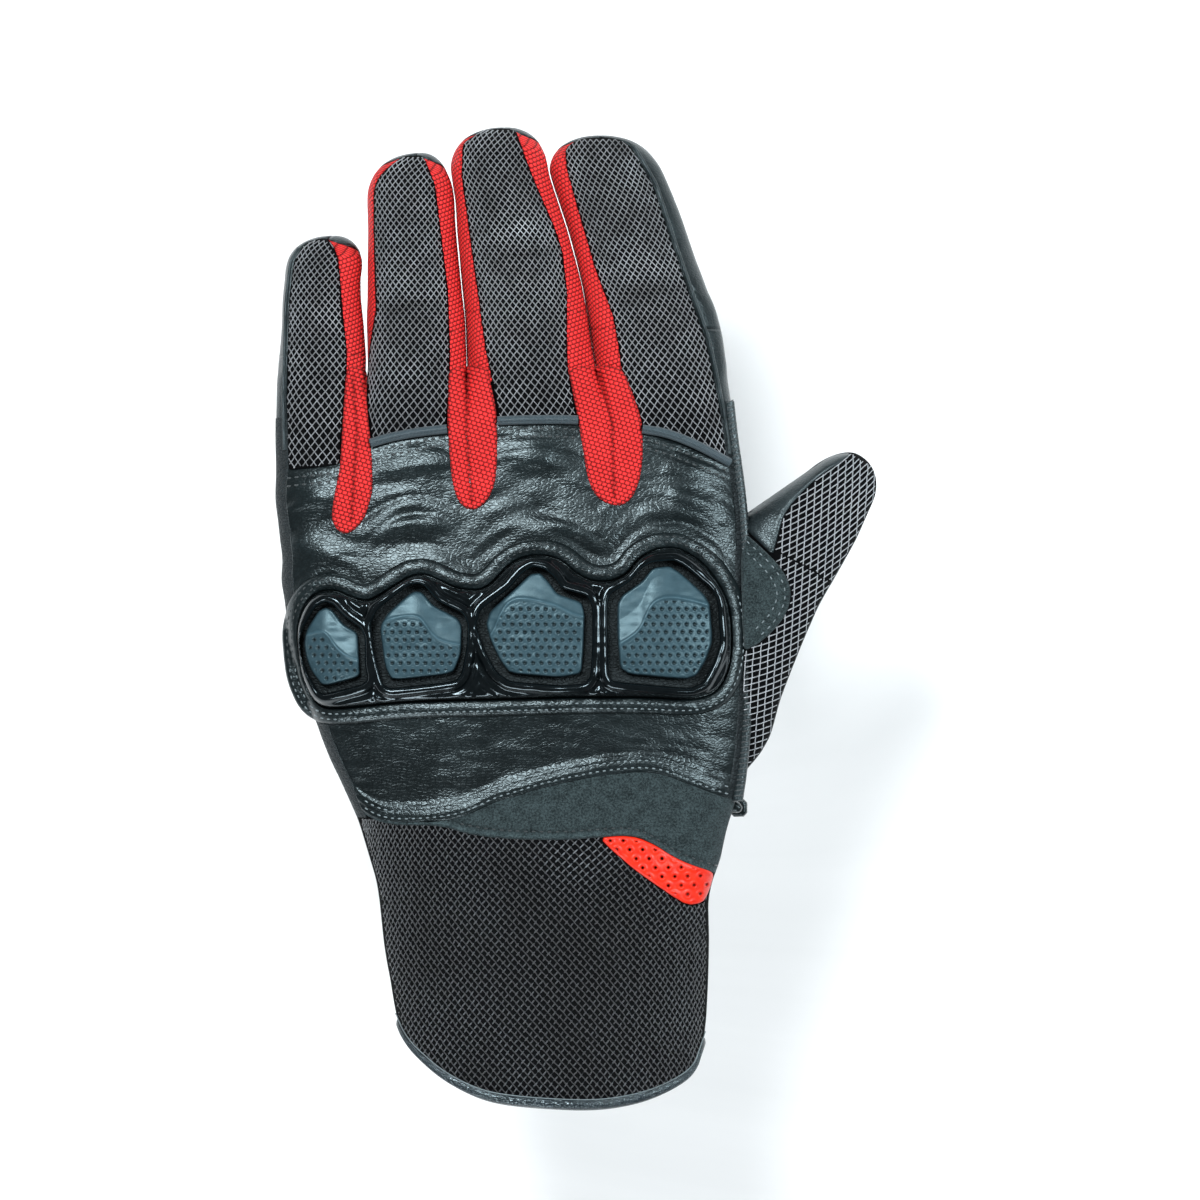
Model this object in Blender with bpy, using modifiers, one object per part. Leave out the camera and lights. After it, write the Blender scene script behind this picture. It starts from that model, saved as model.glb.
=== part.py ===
"""Left riding glove with a short mesh cuff and a moulded knuckle guard.

It lies palm down: +Z is the back of the hand, +Y the fingers, +X the thumb side.
Each panel is a thin closed solid, and the hand, fingers and cuff are hollow.
All driving sizes are in millimetres here, and metres in the scene.
"""

import math

import bmesh
import bpy
from mathutils import Vector

MM = 0.001

# ---- driving dimensions, mm ----
WALL = 1.25            # leather and lined mesh
KNIT = 1.0             # finger side walls
GAP = 0.36             # between neighbouring panels
LIFT = 0.36            # under anything laid on a panel
SQUARE = 0.8           # cross-sections: 1 is an ellipse, smaller is boxier

# hand and cuff: along Y, then left edge, right edge, underside, top
HAND = [
    (-126.0, -40.5, 31.5, 0.9, 34.5),
    (-100.0, -44.6, 33.0, 1.5, 33.5),
    (-86.0, -47.0, 33.6, 2.6, 32.5),
    (-71.0, -48.8, 33.0, 4.0, 31.5),
    (-58.0, -52.0, 36.8, 4.3, 31.0),
    (-46.0, -56.3, 41.3, 4.2, 31.0),
    (-30.0, -63.5, 43.6, 2.7, 31.0),
    (-12.0, -69.5, 43.8, 1.9, 31.0),
    (4.0, -72.5, 43.4, 1.9, 30.0),
    (29.0, -75.0, 42.4, 1.9, 27.0),
    (45.0, -75.2, 40.5, 1.9, 24.5),
    (64.0, -74.6, 38.2, 1.9, 22.0),
]

# fingers: root on the knuckle hinge, lean towards the little finger in degrees,
# length, distance of the middle joint, then (distance, half width, top)
AXIS_Z = 7.2
FINGERS = {
    "little": dict(root=(-64.5, 57.1), lean=-2.0, length=38.3, middle=15.5,
                   wide=[(0, 10.0, 19.0), (15, 9.8, 18.6), (27, 9.5, 17.4), (38.3, 8.6, 15.5)]),
    "ring": dict(root=(-41.1, 58.1), lean=0.0, length=57.8, middle=24.0,
                 wide=[(0, 12.4, 21.0), (24, 11.6, 20.6), (46, 10.7, 18.6), (57.8, 9.4, 16.5)]),
    "mid": dict(root=(-11.25, 58.1), lean=6.8, length=64.6, middle=34.0,
                wide=[(0, 15.9, 22.0), (24, 14.1, 21.8), (46, 12.5, 19.8), (64.6, 10.4, 17.0)]),
    "index": dict(root=(21.9, 57.6), lean=13.2, length=64.0, middle=27.0,
                  wide=[(0, 15.8, 21.5), (24, 15.3, 21.2), (46, 13.6, 19.2), (64.0, 11.2, 16.5)]),
}
FINGER_UNDER = 0.7
KNUCKLE_MAX = 55.0     # flexion of each finger root, degrees
MIDDLE_MAX = 65.0      # flexion of each middle joint
TIP_ROUND = 8.5

# thumb: a frame that starts inside the hand and points up and out
THUMB_START = (28.5, -31.6)
THUMB_LEAN = -30.0
THUMB_LENGTH = 82.6
THUMB_EDGE_X = 44.5    # the thumb starts here, clear of the hand
THUMB_TIP_JOINT = 60.0
THUMB_TIP_MAX = 50.0
THUMB_BASE_MAX = 35.0
THUMB_BASE_Z = 11.0
# along the thumb: distance, left edge, right edge, underside, top
THUMB = [
    (0.0, -11.0, 15.7, 1.0, 22.5),
    (21.0, -11.4, 14.3, 1.0, 22.5),
    (36.0, -11.5, 12.0, 1.0, 22.5),
    (60.0, -11.4, 11.0, 1.0, 22.0),
    (74.5, -8.6, 9.8, 1.2, 20.0),
    (84.0, -7.4, 9.0, 1.6, 18.0),
]

# wrist hinge between hand and cuff
WRIST_AT = (-9.0, -58.2)
WRIST_SLOPE = -0.1     # dy/dx of the hinge line
WRIST_Z = 15.0
WRIST_BACK = 20.0      # degrees, cuff up
WRIST_FLEX = 30.0      # degrees, cuff down

# seams across the back of the hand: (x, y)
WAVY_EDGE = [(-60, -45.5), (-46, -51.5), (-27, -49.9), (-14.7, -45.6), (-1, -41.2),
             (19.5, -38.6), (29.5, -42.4), (37.5, -45.6), (48, -46.5)]
PIPING_LINE = [(-78, 36.5), (-58, 38), (-50.5, 43.4), (-32, 46.9), (-19, 48.9),
               (0.5, 48.9), (17, 46.9), (27, 43.6), (38.5, 38.4), (50, 36)]
PIPINGS = {"ring": (-50.2, -32.2), "mid": (-18.6, 0.2), "index": (17.6, 36.6)}
PIPING_R = 1.1

# rounded red tongues between the finger roots: centre line top, centre line bottom, half width
TONGUES = {
    "little_ring": ((-54.2, 60.0), (-57.2, 20.8), 3.6, 2.9),
    "ring_mid": ((-27.6, 60.5), (-25.2, 26.6), 4.6, 4.4),
    "mid_index": ((5.3, 60.0), (11.4, 27.6), 6.0, 5.4),
}

# knuckle guard outline, and its windows
GUARD = [(-67.8, -5.5), (-66.2, 0.5), (-63.0, 4.6), (-60.6, 5.6), (-57.4, 4.2), (-53.0, 1.2),
         (-49.6, 3.0), (-45.0, 7.4), (-38.6, 10.2), (-34.5, 9.8), (-30.5, 6.6), (-25.6, 4.2),
         (-21.5, 7.2), (-16.0, 12.2), (-9.0, 14.8), (-3.0, 13.4), (2.6, 9.2), (7.0, 7.6),
         (12.0, 11.2), (18.0, 15.2), (23.5, 16.4), (29.5, 14.6), (34.0, 9.8), (37.2, 4.0),
         (38.2, -6.0), (37.4, -13.5), (34.2, -18.6), (30.0, -20.2), (18.0, -19.6), (3.0, -18.9),
         (-12.0, -18.9), (-28.0, -19.6), (-44.0, -20.4), (-56.0, -21.6), (-62.6, -21.8),
         (-65.0, -18.0), (-67.2, -11.5)]
WINDOWS = {
    "little": [(-67.75, -3.9), (-65.6, 0.8), (-61.25, 3.1), (-56.6, 1.2), (-52.2, -2.6), (-51.6, -9.5), (-51.25, -16.4),
               (-57.5, -18.6), (-63.0, -19.9), (-65.6, -12.5)],
    "ring": [(-50.25, -4.6), (-49.3, 0.4), (-44.5, 4.6), (-38.5, 7.6), (-33.0, 5.6), (-27.75, 0.9),
             (-27.0, -7.6), (-29.75, -16.9), (-38.0, -17.5), (-46.25, -17.6)],
    "mid": [(-23.5, -5.9), (-22.75, 3.1), (-16.5, 9.0), (-9.0, 12.4), (-2.5, 9.6), (3.5, 5.4),
            (5.25, -7.6), (3.0, -16.1), (-7.0, -16.6), (-17.5, -16.1)],
    "index": [(8.0, 3.9), (15.5, 10.6), (22.25, 14.1), (25.25, 14.1), (30.5, 9.6), (34.75, 3.6),
              (35.5, -9.9), (30.75, -17.4), (19.5, -16.9), (8.5, -15.6), (7.8, -6.0)],
}
WINDOW_IN = 1.1        # the guard's windows are this much inside the lines above
FOAM = 2.2
SHELL = 2.2
RIM_WIDE = 4.0

# palm and closure
PATCH = [(-57, 34), (-20, 40), (22, 38), (33, 26), (34, 4), (28, -16), (8, -27), (-30, -28),
         (-50, -20), (-58, 2)]
STRAP_X = (-16.0, 38.6)
STRAP_Y = (-55.0, -37.0)
STRAP_MAX = 110.0

# where the suede panel stops short of the orange patch, which swings up with the cuff: (x, y)
SUEDE_NOTCH = [(-60, -80), (1.0, -62), (4.5, -49.6), (8.0, -47.8), (13.5, -47.8), (17.5, -48.9), (22.0, -51.2),
               (27.0, -54.4), (31.0, -56.0), (36.0, -61.0)]

ACCENT = [(6.6, -56.4), (11.2, -54.8), (16.0, -55.8), (20.6, -58.2), (25.8, -62.0), (29.4, -63.6),
          (29.6, -71.4), (28.2, -71.6), (23.6, -68.8), (15.2, -63.2), (9.6, -58.8)]


# ---- scene ----
for thing in list(bpy.data.objects):
    bpy.data.objects.remove(thing, do_unlink=True)
glove = bpy.data.collections.new("riding_glove")
cutters = bpy.data.collections.new("cutters")
bpy.context.scene.collection.children.link(glove)
bpy.context.scene.collection.children.link(cutters)
cutters.hide_render = True


def paint(name, colour, rough, metal=0.0):
    m = bpy.data.materials.new(name)
    m.use_nodes = True
    shader = m.node_tree.nodes["Principled BSDF"]
    shader.inputs["Base Color"].default_value = (*colour, 1)
    shader.inputs["Roughness"].default_value = rough
    shader.inputs["Metallic"].default_value = metal
    m.diffuse_color = (*colour, 1)
    return m


LEATHER = paint("black_leather", (0.012, 0.017, 0.018), 0.45)
MESH = paint("net_mesh", (0.010, 0.012, 0.015), 0.6)
RED_KNIT = paint("red_knit", (0.70, 0.03, 0.03), 0.75)
GUARD_PLASTIC = paint("guard_plastic", (0.006, 0.008, 0.010), 0.18)
INSERT = paint("grey_insert", (0.045, 0.085, 0.105), 0.6)
PIPING = paint("grey_piping", (0.09, 0.13, 0.16), 0.5)
SUEDE = paint("grey_suede", (0.035, 0.05, 0.052), 0.85)
ACCENT_RED = paint("orange_red", (0.85, 0.05, 0.01), 0.45)
BINDING = paint("hem_binding", (0.02, 0.024, 0.028), 0.3)
FOAM_GREY = paint("foam", (0.08, 0.08, 0.08), 0.9)
HOOK = paint("hook_tape", (0.02, 0.02, 0.02), 0.9)


# ---- helpers ----
def between(rows, t):
    """Row values at t, on straight lines between the rows."""
    if t <= rows[0][0]:
        return rows[0][1:]
    for low, high in zip(rows, rows[1:]):
        if t <= high[0]:
            k = (t - low[0]) / (high[0] - low[0])
            return tuple(a + (b - a) * k for a, b in zip(low[1:], high[1:]))
    return rows[-1][1:]


class Tube:
    """A hollow limb: a start point in plan, a lean from +Y towards -X, and cross-sections along it."""

    def __init__(self, start, lean, rows, length=None, tip=0.0):
        a = math.radians(lean)
        self.start = start
        self.along = (-math.sin(a), math.cos(a))
        self.side = (math.cos(a), math.sin(a))
        self.rows = rows
        self.length = length
        self.tip = tip

    def local(self, t, phi):
        left, right, under, top = between(self.rows, t)
        middle, half = (left + right) / 2, (right - left) / 2
        c, s = math.cos(phi), math.sin(phi)
        shrink = 1.0
        if self.tip and t > self.length - self.tip:
            q = min(1.0, (t - self.length + self.tip) / self.tip)
            shrink = 1 - 0.42 * q * q
        sx = math.copysign(abs(c) ** SQUARE, c) * half * shrink
        zc, zh = (under + top) / 2, (top - under) / 2
        return middle + sx, zc + math.copysign(abs(s) ** SQUARE, s) * zh * shrink

    def at(self, t, phi):
        s, z = self.local(t, phi)
        return Vector((self.start[0] + self.along[0] * t + self.side[0] * s,
                       self.start[1] + self.along[1] * t + self.side[1] * s, z))

    def inside(self, t, phi, depth):
        """The point this far under the surface, square to it."""
        here = self.at(t, phi)
        if not depth:
            return here
        round_it = self.at(t, phi + 0.02) - self.at(t, phi - 0.02)
        down_it = self.at(t + 0.5, phi) - self.at(t - 0.5, phi)
        return here + round_it.cross(down_it).normalized() * depth

    def place(self, t, s=0.0, z=0.0):
        return Vector((self.start[0] + self.along[0] * t + self.side[0] * s,
                       self.start[1] + self.along[1] * t + self.side[1] * s, z))


def vee(z, axis_z, below, above=0.0, clear=0.3):
    """How far a wall stops short of a hinge plane at height z, so that the joint can close by these half angles."""
    if z < axis_z:
        return clear + (axis_z - z) * math.tan(math.radians(below))
    return clear + (z - axis_z) * math.tan(math.radians(above))


def add(name, mesh, material, pivot=(0, 0, 0), parent=None, bevel=0.0):
    obj = bpy.data.objects.new(name, mesh)
    glove.objects.link(obj)
    mesh.transform(to_local(pivot))
    mesh.materials.append(material)
    if parent is None:
        obj.location = Vector(pivot) * MM
    else:
        obj.parent = parent
    return obj


def to_local(pivot):
    from mathutils import Matrix
    return Matrix.Scale(MM, 4) @ Matrix.Translation(-Vector(pivot))


def slab(bm):
    """Makes a flat mesh at z = 0 one closed slab down to z = -1."""
    lower = bmesh.ops.extrude_face_region(bm, geom=bm.faces[:])
    for v in lower["geom"]:
        if isinstance(v, bmesh.types.BMVert):
            v.co.z = -1
    bmesh.ops.recalc_face_normals(bm, faces=bm.faces[:])


def finish_mesh(name, bm):
    mesh = bpy.data.meshes.new(name)
    bm.to_mesh(mesh)
    bm.free()
    return mesh


def wall(name, tube, phis, t0, t1, material, nu=5, nv=4, thickness=WALL, pivot=(0, 0, 0), parent=None, cap=False,
         spread=None):
    """A panel of a tube between two angles in degrees, from t0 to t1, which may depend on the angle.
    A cap carries the panel on over the limb's end."""
    p0, p1 = (math.radians(p) for p in phis)
    rows = nv + (3 if cap else 0)

    def ends(phi):
        return (t0(phi) if callable(t0) else t0), (t1(phi) if callable(t1) else t1)

    bm = bmesh.new()
    bmesh.ops.create_grid(bm, x_segments=nu, y_segments=rows, size=0.5)
    slab(bm)
    for vert in bm.verts:
        u, k = vert.co.x + 0.5, (vert.co.y + 0.5) * rows
        depth = thickness if vert.co.z < -0.5 else 0.0
        phi = p1 + (p0 - p1) * u
        span = min(1.0, k / nv)
        if spread:
            low, high = ends(phi)
            phi = p0 + (phi - p0) * spread(low + (high - low) * span)
        low, high = ends(phi)
        if cap:
            high -= depth
        t = low + (high - low) * span
        here = tube.inside(t, phi, depth)
        if k > nv + 1e-6:
            over = tube.inside(t, 2 * math.pi - phi, depth)
            q = (k - nv) / 3
            here = here.lerp(over, q) + Vector((*tube.along, 0)) * 0.9 * math.sin(math.pi * q)
        vert.co = here
    return add(name, finish_mesh(name, bm), material, pivot, parent)


def edge_angles(tube, t, phis, gap=GAP):
    """The same two angles in degrees, drawn in by half a gap at each end, measured on the section at t."""
    out = []
    for p, way in ((phis[0], 1), (phis[1], -1)):
        a, b = math.radians(p), math.radians(p + way)
        s0, z0 = tube.local(t, a)
        s1, z1 = tube.local(t, b)
        out.append(p + way * (gap / 2) / max(0.05, math.hypot(s1 - s0, z1 - z0)))
    return out


# ---- limbs ----
hand = Tube((0, 0), 0, HAND)
fingers = {}
for key, f in FINGERS.items():
    rows = [(t, -w, w, FINGER_UNDER, top) for t, w, top in f["wide"]]
    fingers[key] = Tube(f["root"], f["lean"], rows, f["length"], TIP_ROUND)
thumb = Tube(THUMB_START, THUMB_LEAN, THUMB, THUMB_LENGTH, TIP_ROUND)


def top_z(x, y):
    """Height of the back of the hand or cuff over a point in plan."""
    left, right, under, top = between(HAND, y)
    half = (right - left) / 2
    q = min(0.985, abs((x - (left + right) / 2) / half))
    return (under + top) / 2 + (top - under) / 2 * (1 - q ** (2 / SQUARE)) ** (SQUARE / 2)


def x_of(phi, y):
    s, _ = hand.local(y, phi)
    return s


def seam(line, phi, guess):
    """Where a seam drawn in plan as (x, y) meets the hand's surface at this angle."""
    y = guess
    for _ in range(6):
        y = between(line, x_of(phi, y))[0]
    return y


def root_line(x):
    """The lowest of the finger hinge lines near x."""
    found = []
    for key, f in FINGERS.items():
        w = f["wide"][0][1]
        if f["root"][0] - w - 3.5 <= x <= f["root"][0] + w + 3.5:
            found.append(f["root"][1] + (x - f["root"][0]) * math.tan(math.radians(f["lean"])))
    if not found:
        nearest = min(FINGERS.values(), key=lambda f: abs(f["root"][0] - x))
        side = math.copysign(nearest["wide"][0][1], x - nearest["root"][0])
        found.append(nearest["root"][1] + side * math.tan(math.radians(nearest["lean"])))
    return min(found)


def root_end(phi):
    y = 56.0
    for _ in range(4):
        y = root_line(x_of(phi, y))
    _, z = hand.local(y, phi)
    return y - 0.7 - vee(z, AXIS_Z, KNUCKLE_MAX / 2)


def wrist_line(x):
    return WRIST_AT[1] + (x - WRIST_AT[0]) * WRIST_SLOPE


def wrist_hand_end(phi):
    y = wrist_line(x_of(phi, -58))
    _, z = hand.local(y, phi)
    return y + vee(z, WRIST_Z, WRIST_FLEX / 2, WRIST_BACK / 2)


def wrist_cuff_end(phi):
    y = wrist_line(x_of(phi, -58))
    _, z = hand.local(y, phi)
    return y - vee(z, WRIST_Z, WRIST_FLEX / 2, WRIST_BACK / 2)


def cuff_end(phi):
    x = x_of(phi, -110)
    return -119.8 + 0.0094 * (x + 4) ** 2


# ---- joints: empties on their axes ----
def joint(name, at, parent=None, parent_at=None):
    e = bpy.data.objects.new(name, None)
    e.empty_display_size = 0.01
    glove.objects.link(e)
    if parent is None:
        e.location = Vector(at) * MM
    else:
        e.parent = parent
        e.location = (Vector(at) - Vector(parent_at)) * MM
    return e


# ---- hand ----
BACK = (22.0, 158.0)
PALM = (158.0, 382.0)
THUMB_HOLE = (-41.0, 27.0)     # along Y
THUMB_HOLE_SHARE = 0.70        # of the palm panel's turn that is left beside the thumb hole


def beside_thumb(y):
    """The palm panel wraps the thumb side of the hand, except beside the thumb hole."""
    low, high = THUMB_HOLE
    k = min(1.0, max(0.0, (y - low) / 5, 0)) * min(1.0, max(0.0, (high - y) / 5))
    return 1 - (1 - THUMB_HOLE_SHARE) * k


BACK_EDGES, PALM_EDGES = edge_angles(hand, 0, BACK, 0.5), edge_angles(hand, 0, PALM, 0.5)
wall("palm_panel", hand, PALM_EDGES, wrist_hand_end, root_end, LEATHER, nu=16, nv=13, thickness=1.4,
     spread=beside_thumb)
wall("mesh_yoke", hand, BACK_EDGES, lambda phi: seam(PIPING_LINE, phi, 44) + GAP / 2, root_end, MESH,
     nu=30, nv=3)
wall("back_leather", hand, BACK_EDGES, lambda phi: seam(WAVY_EDGE, phi, -45) + GAP / 2,
     lambda phi: seam(PIPING_LINE, phi, 44) - GAP / 2, LEATHER, nu=30, nv=9, thickness=1.4)
wall("suede_wrist_panel", hand, BACK_EDGES, lambda phi: max(wrist_hand_end(phi), seam(SUEDE_NOTCH, phi, -52)),
     lambda phi: seam(WAVY_EDGE, phi, -45) - GAP / 2, SUEDE, nu=30, nv=2)


def slices(bm, step_x, step_y):
    """Cuts a flat mesh along evenly spaced lines, so that it can follow a curved surface."""
    for axis, step in ((0, step_x), (1, step_y)):
        low = min(v.co[axis] for v in bm.verts)
        high = max(v.co[axis] for v in bm.verts)
        count = int((high - low) / step)
        for i in range(1, count + 1):
            at = low + (high - low) * i / (count + 1)
            where, normal = [0, 0, 0], [0, 0, 0]
            where[axis], normal[axis] = at, 1
            bmesh.ops.bisect_plane(bm, geom=bm.verts[:] + bm.edges[:] + bm.faces[:], dist=1e-5,
                                   plane_co=where, plane_no=normal)


def overlay(name, outline, lift, thickness, material, step=(7, 9), height=top_z, holes=()):
    """A plate of this outline in plan, laid over the back of the hand or cuff."""
    bm = bmesh.new()
    loop = [bm.verts.new((x, y, 0)) for x, y in outline]
    face = bm.faces.new(loop)
    face.normal_update()
    if face.normal.z < 0:
        face.normal_flip()
    slices(bm, *step)
    slab(bm)
    for v in bm.verts:
        up = lift if v.co.z < -0.5 else lift + thickness
        v.co.z = height(v.co.x, v.co.y) + up
    obj = add(name, finish_mesh(name, bm), material)
    for i, hole in enumerate(holes):
        cut = prism(f"{name}_cut_{i}", hole, 10, 60)
        mod = obj.modifiers.new(f"window_{i}", "BOOLEAN")
        mod.object, mod.operation, mod.solver = cut, "DIFFERENCE", "EXACT"
    return obj


def prism(name, outline, low, high):
    bm = bmesh.new()
    face = bm.faces.new([bm.verts.new((x, y, low)) for x, y in outline])
    face.normal_update()
    if face.normal.z > 0:
        face.normal_flip()
    raised = bmesh.ops.extrude_face_region(bm, geom=[face])
    bmesh.ops.translate(bm, vec=(0, 0, high - low), verts=[v for v in raised["geom"] if isinstance(v, bmesh.types.BMVert)])
    bmesh.ops.recalc_face_normals(bm, faces=bm.faces[:])
    mesh = bpy.data.meshes.new(name)
    bm.to_mesh(mesh)
    bm.free()
    mesh.transform(to_local((0, 0, 0)))
    obj = bpy.data.objects.new(name, mesh)
    cutters.objects.link(obj)
    obj.hide_render = True
    obj.display_type = "WIRE"
    return obj


def offset(outline, by):
    """The outline moved outwards by this much at every corner, or inwards if negative."""
    n = len(outline)
    turn = sum(outline[i][0] * outline[(i + 1) % n][1] - outline[(i + 1) % n][0] * outline[i][1] for i in range(n))
    out = []
    for i in range(n):
        p = Vector(outline[i])
        a = (p - Vector(outline[i - 1])).normalized()
        b = (Vector(outline[(i + 1) % n]) - p).normalized()
        t = (a + b).normalized()
        normal = Vector((t.y, -t.x)) * math.copysign(1, turn)
        out.append(tuple(p + normal * by / max(0.6, t.dot(b))))
    return out


def tongue(top, bottom, wide_top, wide_bottom, count=5):
    """A strip with parallel sides and a round lower end."""
    a, b = Vector(top), Vector(bottom)
    along = (b - a).normalized()
    side = Vector((-along.y, along.x))
    centre = b - along * wide_bottom
    left = [a - side * wide_top]
    right = [a + side * wide_top]
    arc = [centre + side * (-math.cos(math.pi * i / count)) * wide_bottom + along * math.sin(math.pi * i / count) * wide_bottom
           for i in range(count + 1)]
    return [tuple(p) for p in left + arc + right]


for key, (top, bottom, w0, w1) in TONGUES.items():
    low_top = (top[0], top[1] - 5.2)
    overlay(f"tongue_{key}", tongue(low_top, bottom, w0, w1), LIFT, 0.9, RED_KNIT, step=(6, 6))


def tube_along(name, points, radius, material, cyclic=False, res=2):
    """A round cord through points, as a closed mesh."""
    curve = bpy.data.curves.new(name + "_line", "CURVE")
    curve.dimensions = "3D"
    curve.bevel_depth = radius * MM
    curve.bevel_resolution = res
    curve.use_fill_caps = not cyclic
    spline = curve.splines.new("POLY")
    spline.points.add(len(points) - 1)
    for p, q in zip(spline.points, points):
        p.co = (*(Vector(q) * MM), 1)
    spline.use_cyclic_u = cyclic
    line = bpy.data.objects.new(name + "_line", curve)
    cutters.objects.link(line)
    bpy.context.view_layer.update()
    mesh = bpy.data.meshes.new_from_object(line.evaluated_get(bpy.context.evaluated_depsgraph_get()))
    bpy.data.objects.remove(line, do_unlink=True)
    bm = bmesh.new()
    bm.from_mesh(mesh)
    bmesh.ops.remove_doubles(bm, verts=bm.verts[:], dist=1e-6)
    bmesh.ops.recalc_face_normals(bm, faces=bm.faces[:])
    bm.to_mesh(mesh)
    bm.free()
    mesh.materials.clear()
    mesh.materials.append(material)
    obj = bpy.data.objects.new(name, mesh)
    glove.objects.link(obj)
    return obj


for key, (x0, x1) in PIPINGS.items():
    pts = []
    for i in range(7):
        x = x0 + (x1 - x0) * i / 6
        y = between(PIPING_LINE, x)[0]
        pts.append((x, y, top_z(x, y) + PIPING_R + LIFT))
    tube_along(f"piping_{key}", pts, PIPING_R, PIPING, res=1)

# knuckle guard: rim, foam, shell and inserts
inner, outer = offset(GUARD, 0.45), offset(GUARD, 0.45 + RIM_WIDE)
bm = bmesh.new()
rings = [[bm.verts.new((x, y, 0)) for x, y in loop] for loop in (inner, outer)]
for i in range(len(inner)):
    j = (i + 1) % len(inner)
    bm.faces.new((rings[0][i], rings[0][j], rings[1][j], rings[1][i]))
bmesh.ops.recalc_face_normals(bm, faces=bm.faces[:])
if sum(f.normal.z for f in bm.faces) < 0:
    bmesh.ops.reverse_faces(bm, faces=bm.faces[:])
slab(bm)
for v in bm.verts:
    v.co.z = top_z(v.co.x, v.co.y) + (LIFT + 0.45 if v.co.z < -0.5 else LIFT + 2.3)
add("guard_rim", finish_mesh("guard_rim", bm), LEATHER)

overlay("guard_foam", offset(GUARD, -1.0), LIFT + 0.1, FOAM - 0.1, FOAM_GREY, step=(7, 7))
overlay("knuckle_guard", GUARD, LIFT * 2 + FOAM, SHELL, GUARD_PLASTIC, step=(7, 7),
        holes=[offset(w, -WINDOW_IN) for w in WINDOWS.values()])
for key, window in WINDOWS.items():
    shape = offset(window, -(WINDOW_IN + GAP))
    bm = bmesh.new()
    face = bm.faces.new([bm.verts.new((x, y, 0)) for x, y in shape])
    face.normal_update()
    if face.normal.z < 0:
        face.normal_flip()
    slices(bm, 8, 8)
    crown = {(round(v.co.x, 4), round(v.co.y, 4)): 0.0 if v.is_boundary else 1.5 for v in bm.verts}
    slab(bm)
    for v in bm.verts:
        up = 0.0 if v.co.z < -0.5 else 1.5 + crown[(round(v.co.x, 4), round(v.co.y, 4))]
        v.co.z = top_z(v.co.x, v.co.y) + LIFT * 2 + FOAM + up
    add(f"guard_insert_{key}", finish_mesh(f"guard_insert_{key}", bm), INSERT)

# palm reinforcement: flat underneath, and what the glove lies on
bm = bmesh.new()
face = bm.faces.new([bm.verts.new((x, y, 0)) for x, y in PATCH])
face.normal_update()
if face.normal.z < 0:
    face.normal_flip()
raised = bmesh.ops.extrude_face_region(bm, geom=[face])
bmesh.ops.translate(bm, vec=(0, 0, 1.4), verts=[v for v in raised["geom"] if isinstance(v, bmesh.types.BMVert)])
bmesh.ops.recalc_face_normals(bm, faces=bm.faces[:])
mesh = bpy.data.meshes.new("palm_patch")
bm.to_mesh(mesh)
bm.free()
patch = add("palm_patch", mesh, LEATHER)
mod = patch.modifiers.new("edge", "BEVEL")
mod.width, mod.segments, mod.limit_method, mod.angle_limit = 0.4 * MM, 1, "ANGLE", math.radians(60)


def box(name, low, high, material, bevel=0.3, pivot=(0, 0, 0), parent=None):
    bm = bmesh.new()
    bmesh.ops.create_cube(bm, size=1)
    for v in bm.verts:
        v.co = Vector([l + (h - l) * (c + 0.5) for l, h, c in zip(low, high, v.co)])
    mesh = bpy.data.meshes.new(name)
    bm.to_mesh(mesh)
    bm.free()
    obj = add(name, mesh, material, pivot, parent)
    m = obj.modifiers.new("edge", "BEVEL")
    m.width, m.segments = bevel * MM, 1
    return obj


# closure strap under the wrist, hinged where it is sewn at the thumb side
strap_pivot = (STRAP_X[1], sum(STRAP_Y) / 2, 1.1)
strap_joint = joint("strap_joint", strap_pivot)
box("closure_strap", (STRAP_X[0], STRAP_Y[0], 0.3), (STRAP_X[1], STRAP_Y[1], 1.9), LEATHER, 0.4, strap_pivot, strap_joint)
box("strap_hook_pad", (STRAP_X[0] + 3, STRAP_Y[0] + 2, 2.0), (STRAP_X[0] + 23, STRAP_Y[1] - 2, 2.6), HOOK, 0.15, strap_pivot,
    strap_joint)
box("strap_loop_patch", (STRAP_X[0] - 6, STRAP_Y[0] + 2.0, 2.95), (STRAP_X[0] + 30, STRAP_Y[1] - 4.5, 3.55), HOOK, 0.15)
box("strap_tab", (STRAP_X[1] + 0.4, -50.5, 1.0), (STRAP_X[1] + 4.4, -46.0, 4.6), LEATHER, 0.6)

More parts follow.
